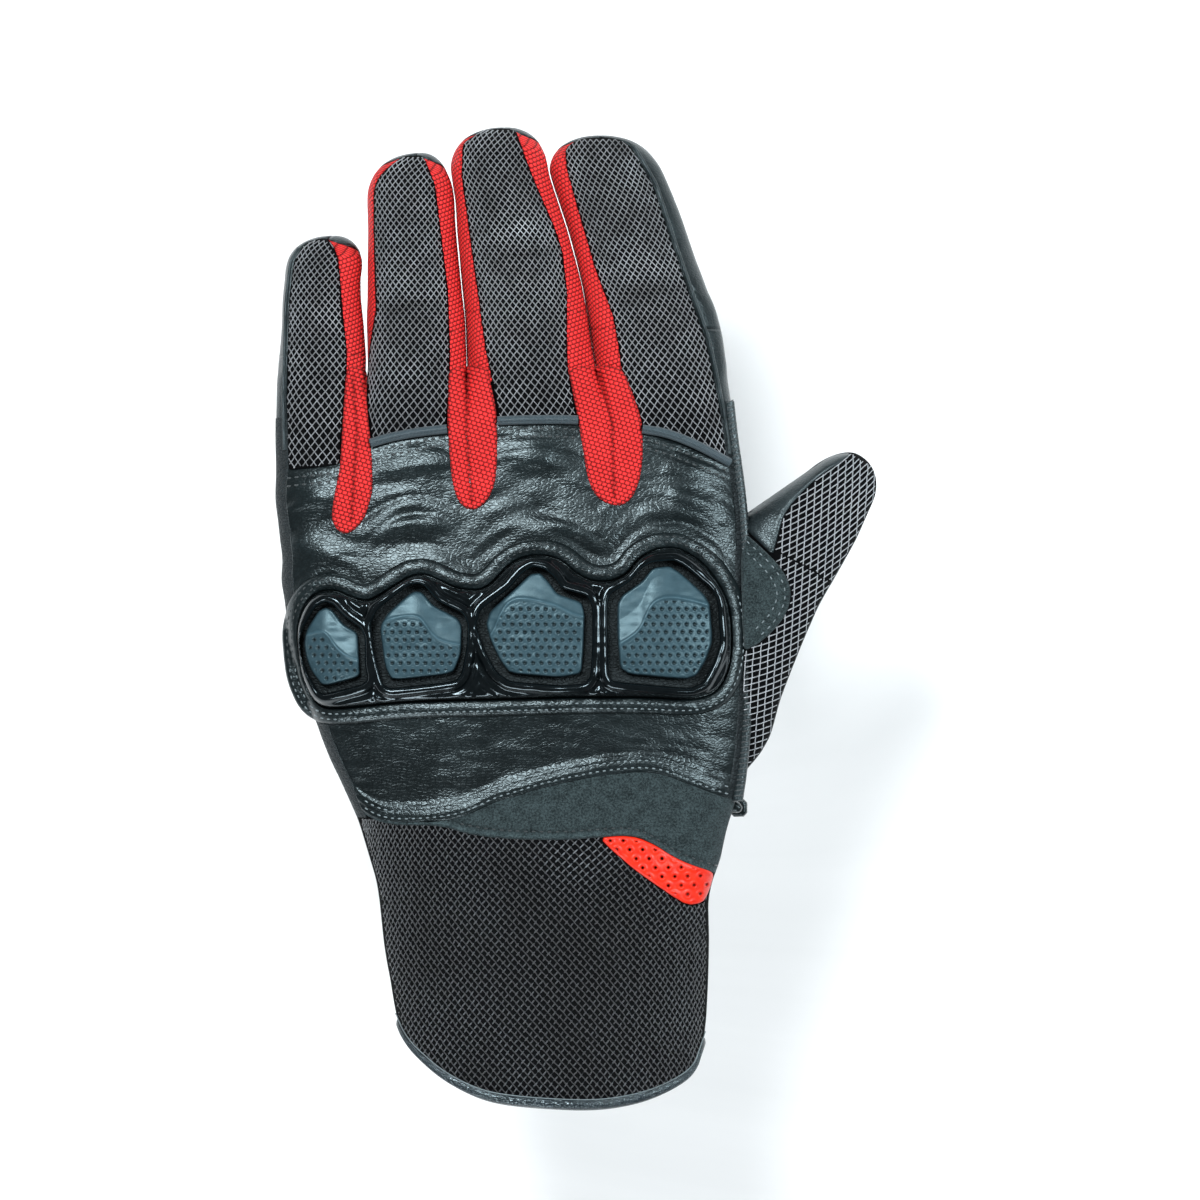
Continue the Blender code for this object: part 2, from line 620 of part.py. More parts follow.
# ---- fingers ----
for key, tube in fingers.items():
    f = FINGERS[key]
    outer_left = key == "little"
    outer_right = key == "index"
    root = (*f["root"], AXIS_Z)
    middle_at = tube.place(f["middle"], 0, AXIS_Z)
    knuckle = joint(f"{key}_knuckle", root)
    bend = joint(f"{key}_middle_joint", middle_at, knuckle, root)
    back = (28.0, 152.0)
    left = (152.0, 212.0)
    right = (-32.0, 28.0)
    palm = (152.0 if outer_left else 212.0, 388.0 if outer_right else 328.0)

    def start(phi, tube=tube):
        return vee(tube.local(0, phi)[1], AXIS_Z, KNUCKLE_MAX / 2)

    def before(phi, tube=tube, at=f["middle"]):
        return at - vee(tube.local(at, phi)[1], AXIS_Z, MIDDLE_MAX / 2)

    def after(phi, tube=tube, at=f["middle"]):
        return at + vee(tube.local(at, phi)[1], AXIS_Z, MIDDLE_MAX / 2)

    end = f["length"] - 0.9
    short = end - WALL - 0.9
    for seg, t0, t1, pivot, parent, cap in (
        ("base", start, before, root, knuckle, False),
        ("tip", after, end, middle_at, bend, True),
    ):
        where = f["middle"] * 0.5 if seg == "base" else (f["middle"] + f["length"]) / 2
        stop = t1 if seg == "base" else short
        wall(f"{key}_{seg}_back", tube, edge_angles(tube, where, back), t0, stop, MESH, nu=5, nv=3, pivot=pivot, parent=parent)
        wall(f"{key}_{seg}_palm", tube, edge_angles(tube, where, palm), t0, t1, LEATHER, nu=6, nv=3, pivot=pivot,
             parent=parent, cap=cap)
        if not outer_left:
            wall(f"{key}_{seg}_side_l", tube, edge_angles(tube, where, left), t0, stop, RED_KNIT, nu=2, nv=3, thickness=KNIT,
                 pivot=pivot, parent=parent)
        if not outer_right:
            wall(f"{key}_{seg}_side_r", tube, edge_angles(tube, where, right), t0, stop, RED_KNIT, nu=2, nv=3, thickness=KNIT,
                 pivot=pivot, parent=parent)

# ---- thumb ----
base_pivot = (THUMB_EDGE_X - 0.3, -4.0, THUMB_BASE_Z)
tip_pivot = thumb.place(THUMB_TIP_JOINT, 0, AXIS_Z)
thumb_base = joint("thumb_base_joint", base_pivot)
thumb_tip = joint("thumb_tip_joint", tip_pivot, thumb_base, base_pivot)


def thumb_start(phi):
    t = 20.0
    for _ in range(12):
        s, z = thumb.local(t, phi)
        x = THUMB_EDGE_X + vee(z, THUMB_BASE_Z, THUMB_BASE_MAX / 2, 0, 0.2)
        t = (x - THUMB_START[0] - s * thumb.side[0]) / thumb.along[0]
    return max(t, -12.0)


def thumb_before(phi):
    return THUMB_TIP_JOINT - vee(thumb.local(THUMB_TIP_JOINT, phi)[1], AXIS_Z, THUMB_TIP_MAX / 2)


def thumb_after(phi):
    return THUMB_TIP_JOINT + vee(thumb.local(THUMB_TIP_JOINT, phi)[1], AXIS_Z, THUMB_TIP_MAX / 2)


t_back, t_palm = (12.0, 160.0), (160.0, 372.0)
wall("thumb_base_back", thumb, edge_angles(thumb, 45, t_back), thumb_start, thumb_before, MESH, nu=6, nv=4, pivot=base_pivot,
     parent=thumb_base)
wall("thumb_base_palm", thumb, edge_angles(thumb, 45, t_palm), thumb_start, thumb_before, LEATHER, nu=8, nv=4,
     pivot=base_pivot, parent=thumb_base)
wall("thumb_tip_back", thumb, edge_angles(thumb, 70, t_back), thumb_after, THUMB_LENGTH - 0.9 - WALL - 0.9, MESH, nu=5, nv=3,
     pivot=tip_pivot, parent=thumb_tip)
wall("thumb_tip_palm", thumb, edge_angles(thumb, 70, t_palm), thumb_after, THUMB_LENGTH - 0.9, LEATHER, nu=7, nv=3,
     pivot=tip_pivot, parent=thumb_tip, cap=True)


def thumb_top(x, y):
    """Height of the thumb's back over a point in plan."""
    dx, dy = x - thumb.start[0], y - thumb.start[1]
    t = dx * thumb.along[0] + dy * thumb.along[1]
    s = dx * thumb.side[0] + dy * thumb.side[1]
    left, right, under, top = between(THUMB, t)
    q = min(0.97, abs((s - (left + right) / 2) / ((right - left) / 2)))
    return (under + top) / 2 + (top - under) / 2 * (1 - q ** (2 / SQUARE)) ** (SQUARE / 2)


crescent = [(45.6, 17.6), (49.0, 13.6), (52.0, 9.6), (52.4, 5.2), (50.4, 0.6), (47.4, -3.2), (45.4, -5.0), (45.4, 6.0)]
overlay("thumb_gusset", crescent, LIFT, 0.9, SUEDE, step=(3, 5), height=thumb_top)
gusset = bpy.data.objects["thumb_gusset"]
gusset.data.transform(to_local(base_pivot) @ to_local((0, 0, 0)).inverted())
gusset.location = (0, 0, 0)
gusset.parent = thumb_base

# ---- cuff ----
wrist_pivot = (*WRIST_AT, WRIST_Z)
wrist = joint("wrist_joint", wrist_pivot)


def on_cuff(obj):
    obj.data.transform(to_local(wrist_pivot) @ to_local((0, 0, 0)).inverted())
    obj.parent = wrist
    return obj


wall("cuff_back_mesh", hand, edge_angles(hand, -95, (12.0, 168.0)), cuff_end, wrist_cuff_end, MESH, nu=12, nv=5,
     pivot=wrist_pivot, parent=wrist)
wall("cuff_palm_panel", hand, edge_angles(hand, -95, (168.0, 372.0)), cuff_end, wrist_cuff_end, LEATHER, nu=14, nv=5,
     pivot=wrist_pivot, parent=wrist)
hem = []
for i in range(28):
    phi = 2 * math.pi * i / 28
    y = cuff_end(phi) - 1.75
    s, z = hand.local(y, phi)
    left, right, under, top = between(HAND, y)
    mx, mz = (left + right) / 2, (under + top) / 2
    hem.append((mx + (s - mx) * 0.982, y, mz + (z - mz) * 0.965))
on_cuff(tube_along("hem_binding", hem, 1.15, BINDING, cyclic=True, res=1))
on_cuff(overlay("wrist_accent", ACCENT, LIFT + 0.25, 0.9, ACCENT_RED, step=(6, 6)))
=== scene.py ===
"""Looks of the left riding glove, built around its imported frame.

Sizes are in millimetres and become metres when a mesh is made. +Y points to the fingers, +X to the thumb,
+Z is the back of the hand. Layout points written with plan() are on a quarter-millimetre grid.
"""
import math

import bpy
import numpy as np
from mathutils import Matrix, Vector
from mathutils.geometry import delaunay_2d_cdt


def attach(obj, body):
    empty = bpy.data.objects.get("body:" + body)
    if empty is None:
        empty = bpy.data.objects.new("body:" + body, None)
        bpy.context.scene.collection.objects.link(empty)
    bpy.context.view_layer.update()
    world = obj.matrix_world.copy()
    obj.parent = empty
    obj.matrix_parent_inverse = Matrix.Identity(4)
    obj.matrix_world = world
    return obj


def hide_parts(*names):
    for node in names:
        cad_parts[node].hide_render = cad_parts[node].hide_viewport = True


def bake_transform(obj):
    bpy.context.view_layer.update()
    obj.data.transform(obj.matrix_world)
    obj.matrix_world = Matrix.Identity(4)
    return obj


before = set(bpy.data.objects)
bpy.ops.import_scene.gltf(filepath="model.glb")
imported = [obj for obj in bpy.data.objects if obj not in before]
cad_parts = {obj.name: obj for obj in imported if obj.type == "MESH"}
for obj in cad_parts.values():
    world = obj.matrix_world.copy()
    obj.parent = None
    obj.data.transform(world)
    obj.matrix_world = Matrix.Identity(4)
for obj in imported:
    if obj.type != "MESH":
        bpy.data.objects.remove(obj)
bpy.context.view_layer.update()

MM = 0.001
E = 0.8                 # section roundness: 1 is an ellipse
rng = np.random.default_rng(7)


def plan(*points):
    return [((a - 575) / 4, (616.5 - b) / 4) for a, b in points]


# ------------------------------------------------------------------ noise
def _hash(ix, iy, seed):
    n = (ix.astype(np.int64) * 374761393 + iy.astype(np.int64) * 668265263 + seed * 974634777) & 0xFFFFFFFF
    n = ((n ^ (n >> 13)) * 1274126177) & 0xFFFFFFFF
    return ((n ^ (n >> 16)) & 0xFFFF) / 32767.5 - 1


def noise(x, y, seed=0):
    x, y = np.asarray(x, float), np.asarray(y, float)
    ix, iy = np.floor(x), np.floor(y)
    fx, fy = x - ix, y - iy
    ux, uy = fx * fx * (3 - 2 * fx), fy * fy * (3 - 2 * fy)
    a, b = _hash(ix, iy, seed), _hash(ix + 1, iy, seed)
    c, d = _hash(ix, iy + 1, seed), _hash(ix + 1, iy + 1, seed)
    return (a * (1 - ux) + b * ux) * (1 - uy) + (c * (1 - ux) + d * ux) * uy


def step(a, b, x):
    t = np.clip((np.asarray(x, float) - a) / (b - a), 0, 1)
    return t * t * (3 - 2 * t)


def bump(x, y, cx, cy, rx, ry, turn=0.0):
    c, s = math.cos(math.radians(turn)), math.sin(math.radians(turn))
    dx, dy = x - cx, y - cy
    return np.exp(-((dx * c + dy * s) / rx) ** 2 - ((dy * c - dx * s) / ry) ** 2)


def blurred(v, width):
    k = np.exp(-0.5 * (np.arange(-3 * width, 3 * width + 1) / width) ** 2)
    k /= k.sum()
    n = 3 * width
    pad = np.concatenate([2 * v[0] - v[n:0:-1], v, 2 * v[-1] - v[-2:-n - 2:-1]])
    return np.convolve(pad, k, "valid")


def table(rows, width=3):
    """Rows (t, values...) as one smooth function of t."""
    a = np.array(sorted(rows), float)
    t = np.arange(a[0, 0], a[-1, 0] + 0.5, 0.5)
    cols = [blurred(np.interp(t, a[:, 0], a[:, k]), width) for k in range(1, a.shape[1])]
    return lambda y: [np.interp(y, t, c) for c in cols]


# ------------------------------------------------------------------ shape of the hand and fingers
EDGES = plan((276, 380), (275, 410), (275, 440), (276, 470), (275, 500), (278, 520), (280, 540), (283, 560), (281, 580),
             (285, 600), (287, 620), (290, 640), (294, 660), (301, 680), (308, 700), (316, 720), (323, 740), (331, 760),
             (341, 780), (350, 800), (359, 820), (365, 840), (371, 860), (377, 880), (380, 900), (382, 920), (384, 940),
             (387, 960), (391, 980), (394, 1000), (398, 1020), (403, 1040), (410, 1064), (418, 1120))
RIGHT = plan((728, 380), (732, 402), (735, 425), (739, 455), (743, 485), (746, 510), (748, 560), (750, 640), (750, 700),
             (747, 745), (742, 780), (735, 802), (726, 830), (720, 860), (712, 880), (708, 900), (709, 940), (708, 980),
             (706, 1020), (703, 1040), (700, 1064), (697, 1120))
LEVELS = [(-126, .9, 34.5), (-100, 1.5, 33.5), (-86, 2.6, 32.5), (-71, 3.4, 31.5), (-58, 3.6, 31), (-46, 3.2, 31), (-30, 2.4, 31),
          (-12, 1.9, 31), (4, 1.9, 30), (29, 1.9, 27), (45, 1.9, 24.5), (62, 1.9, 22)]
_left = table([(y, x) for x, y in EDGES])
_right = table([(y, x) for x, y in RIGHT])
_level = table(LEVELS, 6)


def hand_rows(y):
    low, top = _level(y)
    return _left(y)[0], _right(y)[0], low, top


def finger_rows(points, tip, radius, heights):
    t = table([((616.5 - b) / 4, (l - 575) / 4, (r - 575) / 4) for b, l, r in points])
    h = table(heights, 4)
    (tx, ty), = plan(tip)

    def rows(y):
        l, r = t(y)
        low, top = 0.7, h(y)[0]
        q = np.clip((np.asarray(y, float) - (ty - radius)) / radius, 0, 1)
        f = np.maximum((1 - q ** 2.2), 0) ** (1 / 2.2)
        g = np.maximum((1 - q ** 2.6), 0) ** (1 / 2.6)
        mid = (low + top) / 2
        half = (top - low) / 2 * g
        return tx + (l - tx) * f, tx + (r - tx) * f, mid - half, mid + half
    rows.tip = ty
    return rows


B1 = [(150, 365), (260, 364), (290, 363.5), (320, 365), (350, 366), (380, 366), (450, 360), (520, 350)]
B2 = [(120, 449.5), (170, 449.5), (200, 454.5), (230, 456), (260, 459), (290, 462), (320, 465), (350, 466), (380, 467),
      (450, 471), (520, 474)]
B3 = [(100, 547), (155, 547), (170, 548.5), (185, 553), (200, 558), (230, 568), (260, 576), (290, 583), (320, 588), (350, 592),
      (380, 598), (450, 613), (520, 621)]
G = 0.28


def across(line, b):
    return float(np.interp(b, [p[0] for p in line], [p[1] for p in line]))


FINGERS = {
    "little": dict(rows=finger_rows([(b, l, min(r, across(B1, b) - G)) for b, l, r in (
        (225, 284, 364), (245, 284, 364), (260, 284.5, 363), (275, 284, 360), (290, 282, 360), (305, 281, 361), (320, 281, 363),
        (350, 279, 365), (380, 276, 366), (450, 276, 360), (520, 278, 350))], (333, 234), 9.5,
        [(42, 22), (57, 19), (72, 18.6), (84, 17.4), (96, 15.5)]), root=(-64.5, 57.1), lean=-2.0, middle=15.5, split=8.2, zone=7.6),
    "ring": dict(rows=finger_rows([(b, l, across(B2, b) - G) for b, l in (
        (140, 366), (200, 366), (230, 367), (260, 366.5), (290, 366.5), (320, 366), (350, 367), (380, 367), (450, 361), (520, 351))],
        (421, 151), 12, [(42, 24), (58, 21), (82, 20.6), (104, 18.6), (116, 16.5)]), root=(-41.1, 58.1), lean=0.0, middle=24.0,
        split=13.0, zone=8),
    "mid": dict(rows=finger_rows([(b, across(B2, b) + G, across(B3, b) - G) for b in (
        110, 155, 170, 185, 200, 230, 260, 290, 320, 350, 380, 450, 520)], (505, 125.5), 10.5,
        [(42, 25), (58, 22), (92, 21.8), (104, 19.8), (122, 17)]), root=(-11.25, 58.1), lean=6.8, middle=34.0, split=18.0, zone=8),
    "index": dict(rows=finger_rows([(b, across(B3, b) + G, r) for b, r in (
        (120, 656), (155, 657), (170, 662), (185, 669), (200, 675), (215, 681), (230, 686), (245, 691), (260, 696), (275, 702),
        (290, 707), (305, 714), (320, 718), (335, 722), (350, 724), (365, 726), (380, 728), (450, 738), (520, 746))],
        (600, 133.5), 10, [(42, 24.5), (58, 21.5), (82, 21.2), (104, 19.2), (120, 16.5)]), root=(21.9, 57.6), lean=13.2,
        middle=27.0, split=14.5, zone=8),
}
AXIS_Z = 7.2
KNUCKLES = plan((330, 318), (405, 288), (520, 236), (645, 273))


def section(rows, y, phi):
    l, r, low, top = rows(y)
    c, s = np.cos(phi), np.sin(phi)
    x = (l + r) / 2 + np.sign(c) * np.abs(c) ** E * (r - l) / 2
    return x, (low + top) / 2 + np.sign(s) * np.abs(s) ** E * (top - low) / 2


def height(rows, x, y, up=True):
    l, r, low, top = rows(y)
    q = np.clip(np.abs((x - (l + r) / 2) / np.maximum((r - l) / 2, 1e-6)), 0, 1)
    z = (top - low) / 2 * (1 - q ** (2 / E)) ** (E / 2)
    return (low + top) / 2 + (z if up else -z)


def swell(x, y):
    """Soft form on the back: knuckles, creases over the middle joints and gathers at the finger roots."""
    z = 0
    for (kx, ky), amp in zip(KNUCKLES, (.9, 1.3, 2.1, 1.5)):
        z = z + amp * bump(x, y, kx, ky, 6.5, 4.5)
        z = z - amp * .5 * bump(x, y, kx + .5, ky - 5.2, 6.5, .9, 8)
        z = z - amp * .25 * bump(x, y, kx - .5, ky - 8.4, 6, .8, -6)
    z = z + 0.16 * noise(x * .16 + 3, y * .33, 5) + 0.08 * noise(x * .4, y * .8, 6)
    return z


def finger_tone_and_painted_light(x, y):
    """Random variation of the net threads' colour, with painted highlight over the knuckles and painted shade in the
    creases below them.
    """
    t = .78 + .22 * noise(x * .14, y * .1, 8)
    for (kx, ky), amp in zip(KNUCKLES, (.35, .5, .8, .6)):
        t = t + amp * bump(x, y, kx, ky + 1.0, 5.5, 4.0) - .55 * amp * bump(x, y, kx + .5, ky - 5.4, 7, 1.5, 8)
    return np.clip(t, .12, 1.6) * (.72 + .28 * noise(x * .5, y * .5, 12))


def root_share(y):
    return step(45, 68, y)


def top(x, y):
    """Height of the back of the glove over a point in plan."""
    x, y = np.asarray(x, float), np.asarray(y, float)
    z0 = height(hand_rows, x, y)
    w = root_share(y)
    if np.any(w > 0):
        b = 616.5 - 4 * y
        b1, b2, b3 = (np.interp(b, [p[0] for p in line], [(p[1] - 575) / 4 for p in line]) for line in (B1, B2, B3))
        which = (x > b1).astype(int) + (x > b2) + (x > b3)
        zf = np.choose(which, [height(f["rows"], x, y) for f in FINGERS.values()])
        z0 = z0 * (1 - w) + zf * w
    return z0 + swell(x, y)


def finger_point(f, y, phi):
    x, zf = section(f["rows"], y, phi)
    s = np.sin(phi)
    w = root_share(y)
    zh = np.where(s >= 0, height(hand_rows, x, y), height(hand_rows, x, y, False))
    sz = np.sign(s) * np.abs(s) ** E
    bend_y = f["root"][1] + f["middle"]
    lean = (1.5 - .7 * step(bend_y - 8, bend_y - 1, y)) * sz * (1 - step(.32, .72, np.abs(sz))) * step(58, 64, y) * (1 - step(f["rows"].tip - 9, f["rows"].tip - 4, y))
    x = x + lean
    return x, zh * (1 - w) + zf * w + swell(x, y) * np.clip(s, 0, 1) ** .6


def phi_of(rows, y, x):
    """The angle on the upper side of the section at y that is over x."""
    l, r, _, _ = rows(y)
    q = np.clip((x - (l + r) / 2) / np.maximum((r - l) / 2, 1e-6), -1, 1)
    return np.arccos(np.sign(q) * np.abs(q) ** (1 / E))


# ------------------------------------------------------------------ meshes
def link(name, mesh, material):
    mesh.materials.append(material)
    obj = bpy.data.objects.new(name, mesh)
    bpy.context.scene.collection.objects.link(obj)
    return obj


def mesh_of(name, points, faces, uv=None, smooth=True, shade=None):
    """points in mm; uv one pair a point in mm; shade is painted shade (below 1) and painted highlight (above 1), one
    number a point.
    """
    m = bpy.data.meshes.new(name)
    points = np.asarray(points, float)
    m.from_pydata((points * MM).tolist(), [], [tuple(int(i) for i in f) for f in faces])
    m.update()
    layer = m.uv_layers.new(name="UVMap")
    index = np.zeros(len(m.loops), np.int32)
    m.loops.foreach_get("vertex_index", index)
    uv = points[:, :2] if uv is None else np.asarray(uv, float)
    layer.data.foreach_set("uv", uv[index].astype(np.float32).ravel())
    a = m.attributes.new("shade", "FLOAT", "POINT")
    a.data.foreach_set("value", (np.ones(len(points)) if shade is None else np.asarray(shade)).astype(np.float32))
    if smooth:
        m.shade_smooth()
    return m


def grid(name, P, material, uv=None, flip=False, thick=0.0, close=False, shade=None):
    nv, nu = P.shape[:2]
    i = np.arange(nv * nu).reshape(nv, nu)
    if close:
        i = np.concatenate([i, i[:, :1]], axis=1)
    a, b, c, d = i[:-1, :-1], i[:-1, 1:], i[1:, 1:], i[1:, :-1]
    faces = np.stack([a, d, c, b] if flip else [a, b, c, d], -1).reshape(-1, 4)
    if uv is None:
        du = np.concatenate([np.zeros((nv, 1)), np.cumsum(np.linalg.norm(np.diff(P, axis=1), axis=2), axis=1)], 1)
        du = du - du.mean(axis=1, keepdims=True)
        uv = np.stack([du, P[:, :, 1]], -1)
    obj = link(name, mesh_of(name, P.reshape(-1, 3), faces, uv.reshape(-1, 2), shade=None if shade is None else shade.ravel()),
               material)
    if thick:
        m = obj.modifiers.new("thickness", "SOLIDIFY")
        m.thickness, m.offset = thick * MM, -1
        m.use_even_offset = False
    return obj


def rounded(points, closed=True, spacing=0.8, cut=0.22, turns=2):
    """The outline with its corners rounded, and points at even spacing."""
    p = np.array(points, float)
    for _ in range(turns):
        q = np.roll(p, -1, axis=0)
        if closed:
            p = np.stack([p * (1 - cut) + q * cut, p * cut + q * (1 - cut)], 1).reshape(-1, 2)
        else:
            s = np.stack([p[:-1] * .75 + p[1:] * .25, p[:-1] * .25 + p[1:] * .75], 1).reshape(-1, p.shape[1])
            p = np.concatenate([p[:1], s, p[-1:]])
    return resample(p, spacing, closed)


def resample(p, spacing, closed=False):
    p = np.array(p, float)
    if closed:
        p = np.concatenate([p, p[:1]])
    d = np.concatenate([[0], np.cumsum(np.linalg.norm(np.diff(p, axis=0), axis=1))])
    n = max(2, int(round(d[-1] / spacing)))
    t = np.linspace(0, d[-1], n + 1)
    out = np.stack([np.interp(t, d, p[:, k]) for k in range(p.shape[1])], 1)
    return out[:-1] if closed else out


def inside(loop, x, y):
    loop = np.asarray(loop, float)
    out = np.zeros(np.shape(x), bool)
    for (x0, y0), (x1, y1) in zip(loop, np.roll(loop, -1, axis=0)):
        if y0 != y1:
            out ^= ((y0 > y) != (y1 > y)) & (x < (x1 - x0) * (y - y0) / (y1 - y0) + x0)
    return out


def distance(loop, x, y, closed=True):
    loop = np.asarray(loop, float)
    best = np.full(np.shape(x), 1e9)
    ends = np.roll(loop, -1, axis=0) if closed else loop[1:]
    for (x0, y0), (x1, y1) in zip(loop, ends):
        dx, dy = x1 - x0, y1 - y0
        t = np.clip(((x - x0) * dx + (y - y0) * dy) / max(dx * dx + dy * dy, 1e-12), 0, 1)
        best = np.minimum(best, (x - x0 - t * dx) ** 2 + (y - y0 - t * dy) ** 2)
    return np.sqrt(best)


def plate(name, outline, surface, material, lift=0.0, thick=1.0, edge=0.8, h=0.9, holes=(), extra=None, shade=None,
          ring=True, keep=None):
    """A sheet with this outline in plan, rounded down at its edges, laid on surface(x, y). extra(x, y, d) adds height."""
    loops = [np.asarray(outline, float)] + [np.asarray(o, float) for o in holes]
    lo, hi = loops[0].min(0), loops[0].max(0)
    gx, gy = np.meshgrid(np.arange(lo[0], hi[0], h), np.arange(lo[1], hi[1], h * .87))
    gx = gx + (np.arange(gx.shape[0]) % 2)[:, None] * h / 2
    gx, gy = gx.ravel(), gy.ravel()
    ok = inside(loops[0], gx, gy)
    for o in loops[1:]:
        ok &= ~inside(o, gx, gy)
    gx, gy = gx[ok], gy[ok]
    rings = []
    if ring:   # extra points just inside each edge, so that the rounding is smooth
        for k, o in enumerate(loops):
            n = np.roll(o, -1, axis=0) - np.roll(o, 1, axis=0)
            n = np.stack([-n[:, 1], n[:, 0]], 1) / np.maximum(np.linalg.norm(n, axis=1), 1e-9)[:, None]
            area = np.sum(o[:, 0] * np.roll(o[:, 1], -1) - np.roll(o[:, 0], -1) * o[:, 1])
            n = n * (1 if area > 0 else -1) * (1 if k == 0 else -1)
            for t in (edge * .12, edge * .35, edge * .75):
                rings.append(o + n * t)
        rp = np.concatenate(rings)
        good = inside(loops[0], rp[:, 0], rp[:, 1])
        for o in loops[1:]:
            good &= ~inside(o, rp[:, 0], rp[:, 1])
        rp = rp[good]
        dr = np.minimum.reduce([distance(o, rp[:, 0], rp[:, 1]) for o in loops])
        rp = rp[dr > edge * .09]
    dg = np.minimum.reduce([distance(o, gx, gy) for o in loops])
    far = dg > (edge * .95 if ring else h * .35)
    pts = [np.stack([gx[far], gy[far]], 1)] + ([rp] if ring else [])
    edges, base, bound = [], 0, []
    for o in loops:
        n = len(o)
        edges += [(base + i, base + (i + 1) % n) for i in range(n)]
        base += n
        bound.append(o)
    allp = np.concatenate(bound + pts)
    res = delaunay_2d_cdt([Vector(p) for p in allp], edges, [], 0, 1e-7)
    v = np.array([tuple(p) for p in res[0]])
    f = [tuple(t) for t in res[2]]
    tri = np.array([t for t in f if len(t) == 3])
    c = v[tri].mean(axis=1)
    ok = inside(loops[0], c[:, 0], c[:, 1])
    for o in loops[1:]:
        ok &= ~inside(o, c[:, 0], c[:, 1])
    tri = tri[ok]
    a, b, cc = v[tri[:, 0]], v[tri[:, 1]], v[tri[:, 2]]
    area = (b[:, 0] - a[:, 0]) * (cc[:, 1] - a[:, 1]) - (b[:, 1] - a[:, 1]) * (cc[:, 0] - a[:, 0])
    tri[area < 0] = tri[area < 0][:, ::-1]
    x, y = v[:, 0], v[:, 1]
    d = np.minimum.reduce([distance(o, x, y) for o in loops])
    q = np.clip(d / edge, 0, 1)
    z = surface(x, y) + lift + thick * np.sqrt(np.clip(1 - (1 - q) ** 2, 0, 1))
    if extra is not None:
        z = z + extra(x, y, d)
    sh = np.ones(len(x)) if shade is None else shade(x, y, d)
    # the side wall under every open edge
    cnt = {}
    for t in tri:
        for i, j in ((t[0], t[1]), (t[1], t[2]), (t[2], t[0])):
            if (j, i) in cnt:
                del cnt[(j, i)]
            else:
                cnt[(i, j)] = 1
    rim = sorted({i for e in cnt for i in e})
    low = {i: len(x) + k for k, i in enumerate(rim)}
    P = np.stack([x, y, z], 1)
    L = P[rim].copy()
    L[:, 2] -= (0.9 if keep is None else keep)
    faces = [tuple(t) for t in tri] + [(i, low[i], low[j], j) for i, j in cnt]
    P = np.concatenate([P, L])
    # the foot of every side wall is given painted shade
    sh = np.concatenate([sh, sh[rim] * .8])
    obj = link(name, mesh_of(name, P, faces, shade=sh), material)
    return obj


def tubes(name, runs, material, radius=0.15, sides=3, flat=1.0, taper=False, normal=None, colour_factor=None):
    """Thin round threads along lists of points in mm, as one mesh."""
    P, F, U, base = [], [], [], 0
    for run in runs:
        r = np.asarray(run, float)
        if len(r) < 2:
            continue
        t = np.gradient(r, axis=0)
        t /= np.maximum(np.linalg.norm(t, axis=1), 1e-9)[:, None]
        up = np.array([0, 0, 1.0]) if normal is None else normal(r)
        b = np.cross(t, up)
        b /= np.maximum(np.linalg.norm(b, axis=1), 1e-9)[:, None]
        n = np.cross(b, t)
        rad = np.full(len(r), radius)
        if taper:
            k = np.linspace(-1, 1, len(r))
            rad = radius * np.sqrt(np.clip(1 - np.abs(k) ** 3, .03, 1))
        a = np.pi / 2 + 2 * np.pi * np.arange(sides) / sides
        ring = r[:, None, :] + rad[:, None, None] * (np.cos(a)[None, :, None] * b[:, None, :] + np.sin(a)[None, :, None] * n[:, None, :] * flat)
        m = len(r)
        i = base + np.arange(m * sides).reshape(m, sides)
        j = np.roll(i, -1, axis=1)
        F.append(np.stack([i[:-1], i[1:], j[1:], j[:-1]], -1).reshape(-1, 4))
        d = np.concatenate([[0], np.cumsum(np.linalg.norm(np.diff(r, axis=0), axis=1))])
        U.append(np.stack([np.repeat(d, sides) + r[0, 0], np.tile(a, m)], 1))
        P.append(ring.reshape(-1, 3))
        base += m * sides
    if not P:
        return None
    P = np.concatenate(P)
    return link(name, mesh_of(name, P, np.concatenate(F), np.concatenate(U), shade=None if colour_factor is None else colour_factor(P[:, 0], P[:, 1])), material)


def on(surface, pts, lift=0.0):
    p = np.asarray(pts, float)
    return np.column_stack([p[:, 0], p[:, 1], surface(p[:, 0], p[:, 1]) + lift])


def shift(line, by):
    """An open line in plan moved sideways, to its left if positive."""
    p = np.asarray(line, float)
    t = np.gradient(p, axis=0)
    t /= np.linalg.norm(t, axis=1)[:, None]
    return p + np.stack([-t[:, 1], t[:, 0]], 1) * by


def stitches(name, lines, surface, material, pitch=2.1, length=1.45, radius=0.26, lift=0.12):
    """Rows of separate stitches: each dips into the surface at both ends."""
    runs = []
    for line in lines:
        p = resample(line, pitch)
        for a, b in zip(p[:-1], p[1:]):
            m, h = (a + b) / 2, (b - a) / 2 * (length / pitch)
            s = np.linspace(-1, 1, 5)[:, None]
            q = m + h * s
            r = on(surface, q, lift)
            r[:, 2] -= 0.22 * np.abs(s[:, 0]) ** 3
            runs.append(r)
    return tubes(name, runs, material, radius, 5, .8, taper=True)


# ------------------------------------------------------------------ materials
def material(name):
    m = bpy.data.materials.new(name)
    m.use_nodes = True
    t = m.node_tree
    shader = t.nodes["Principled BSDF"]
    uv = t.nodes.new("ShaderNodeUVMap")
    uv.uv_map = "UVMap"
    return m, t, shader, uv.outputs[0]


def node(t, kind, values=(), **props):
    n = t.nodes.new(kind)
    for k, v in props.items():
        setattr(n, k, v)
    for key, v in (values.items() if isinstance(values, dict) else enumerate(values)):
        if v is None:
            continue
        if hasattr(v, "is_output"):
            t.links.new(v, n.inputs[key])
        else:
            n.inputs[key].default_value = v
    return n


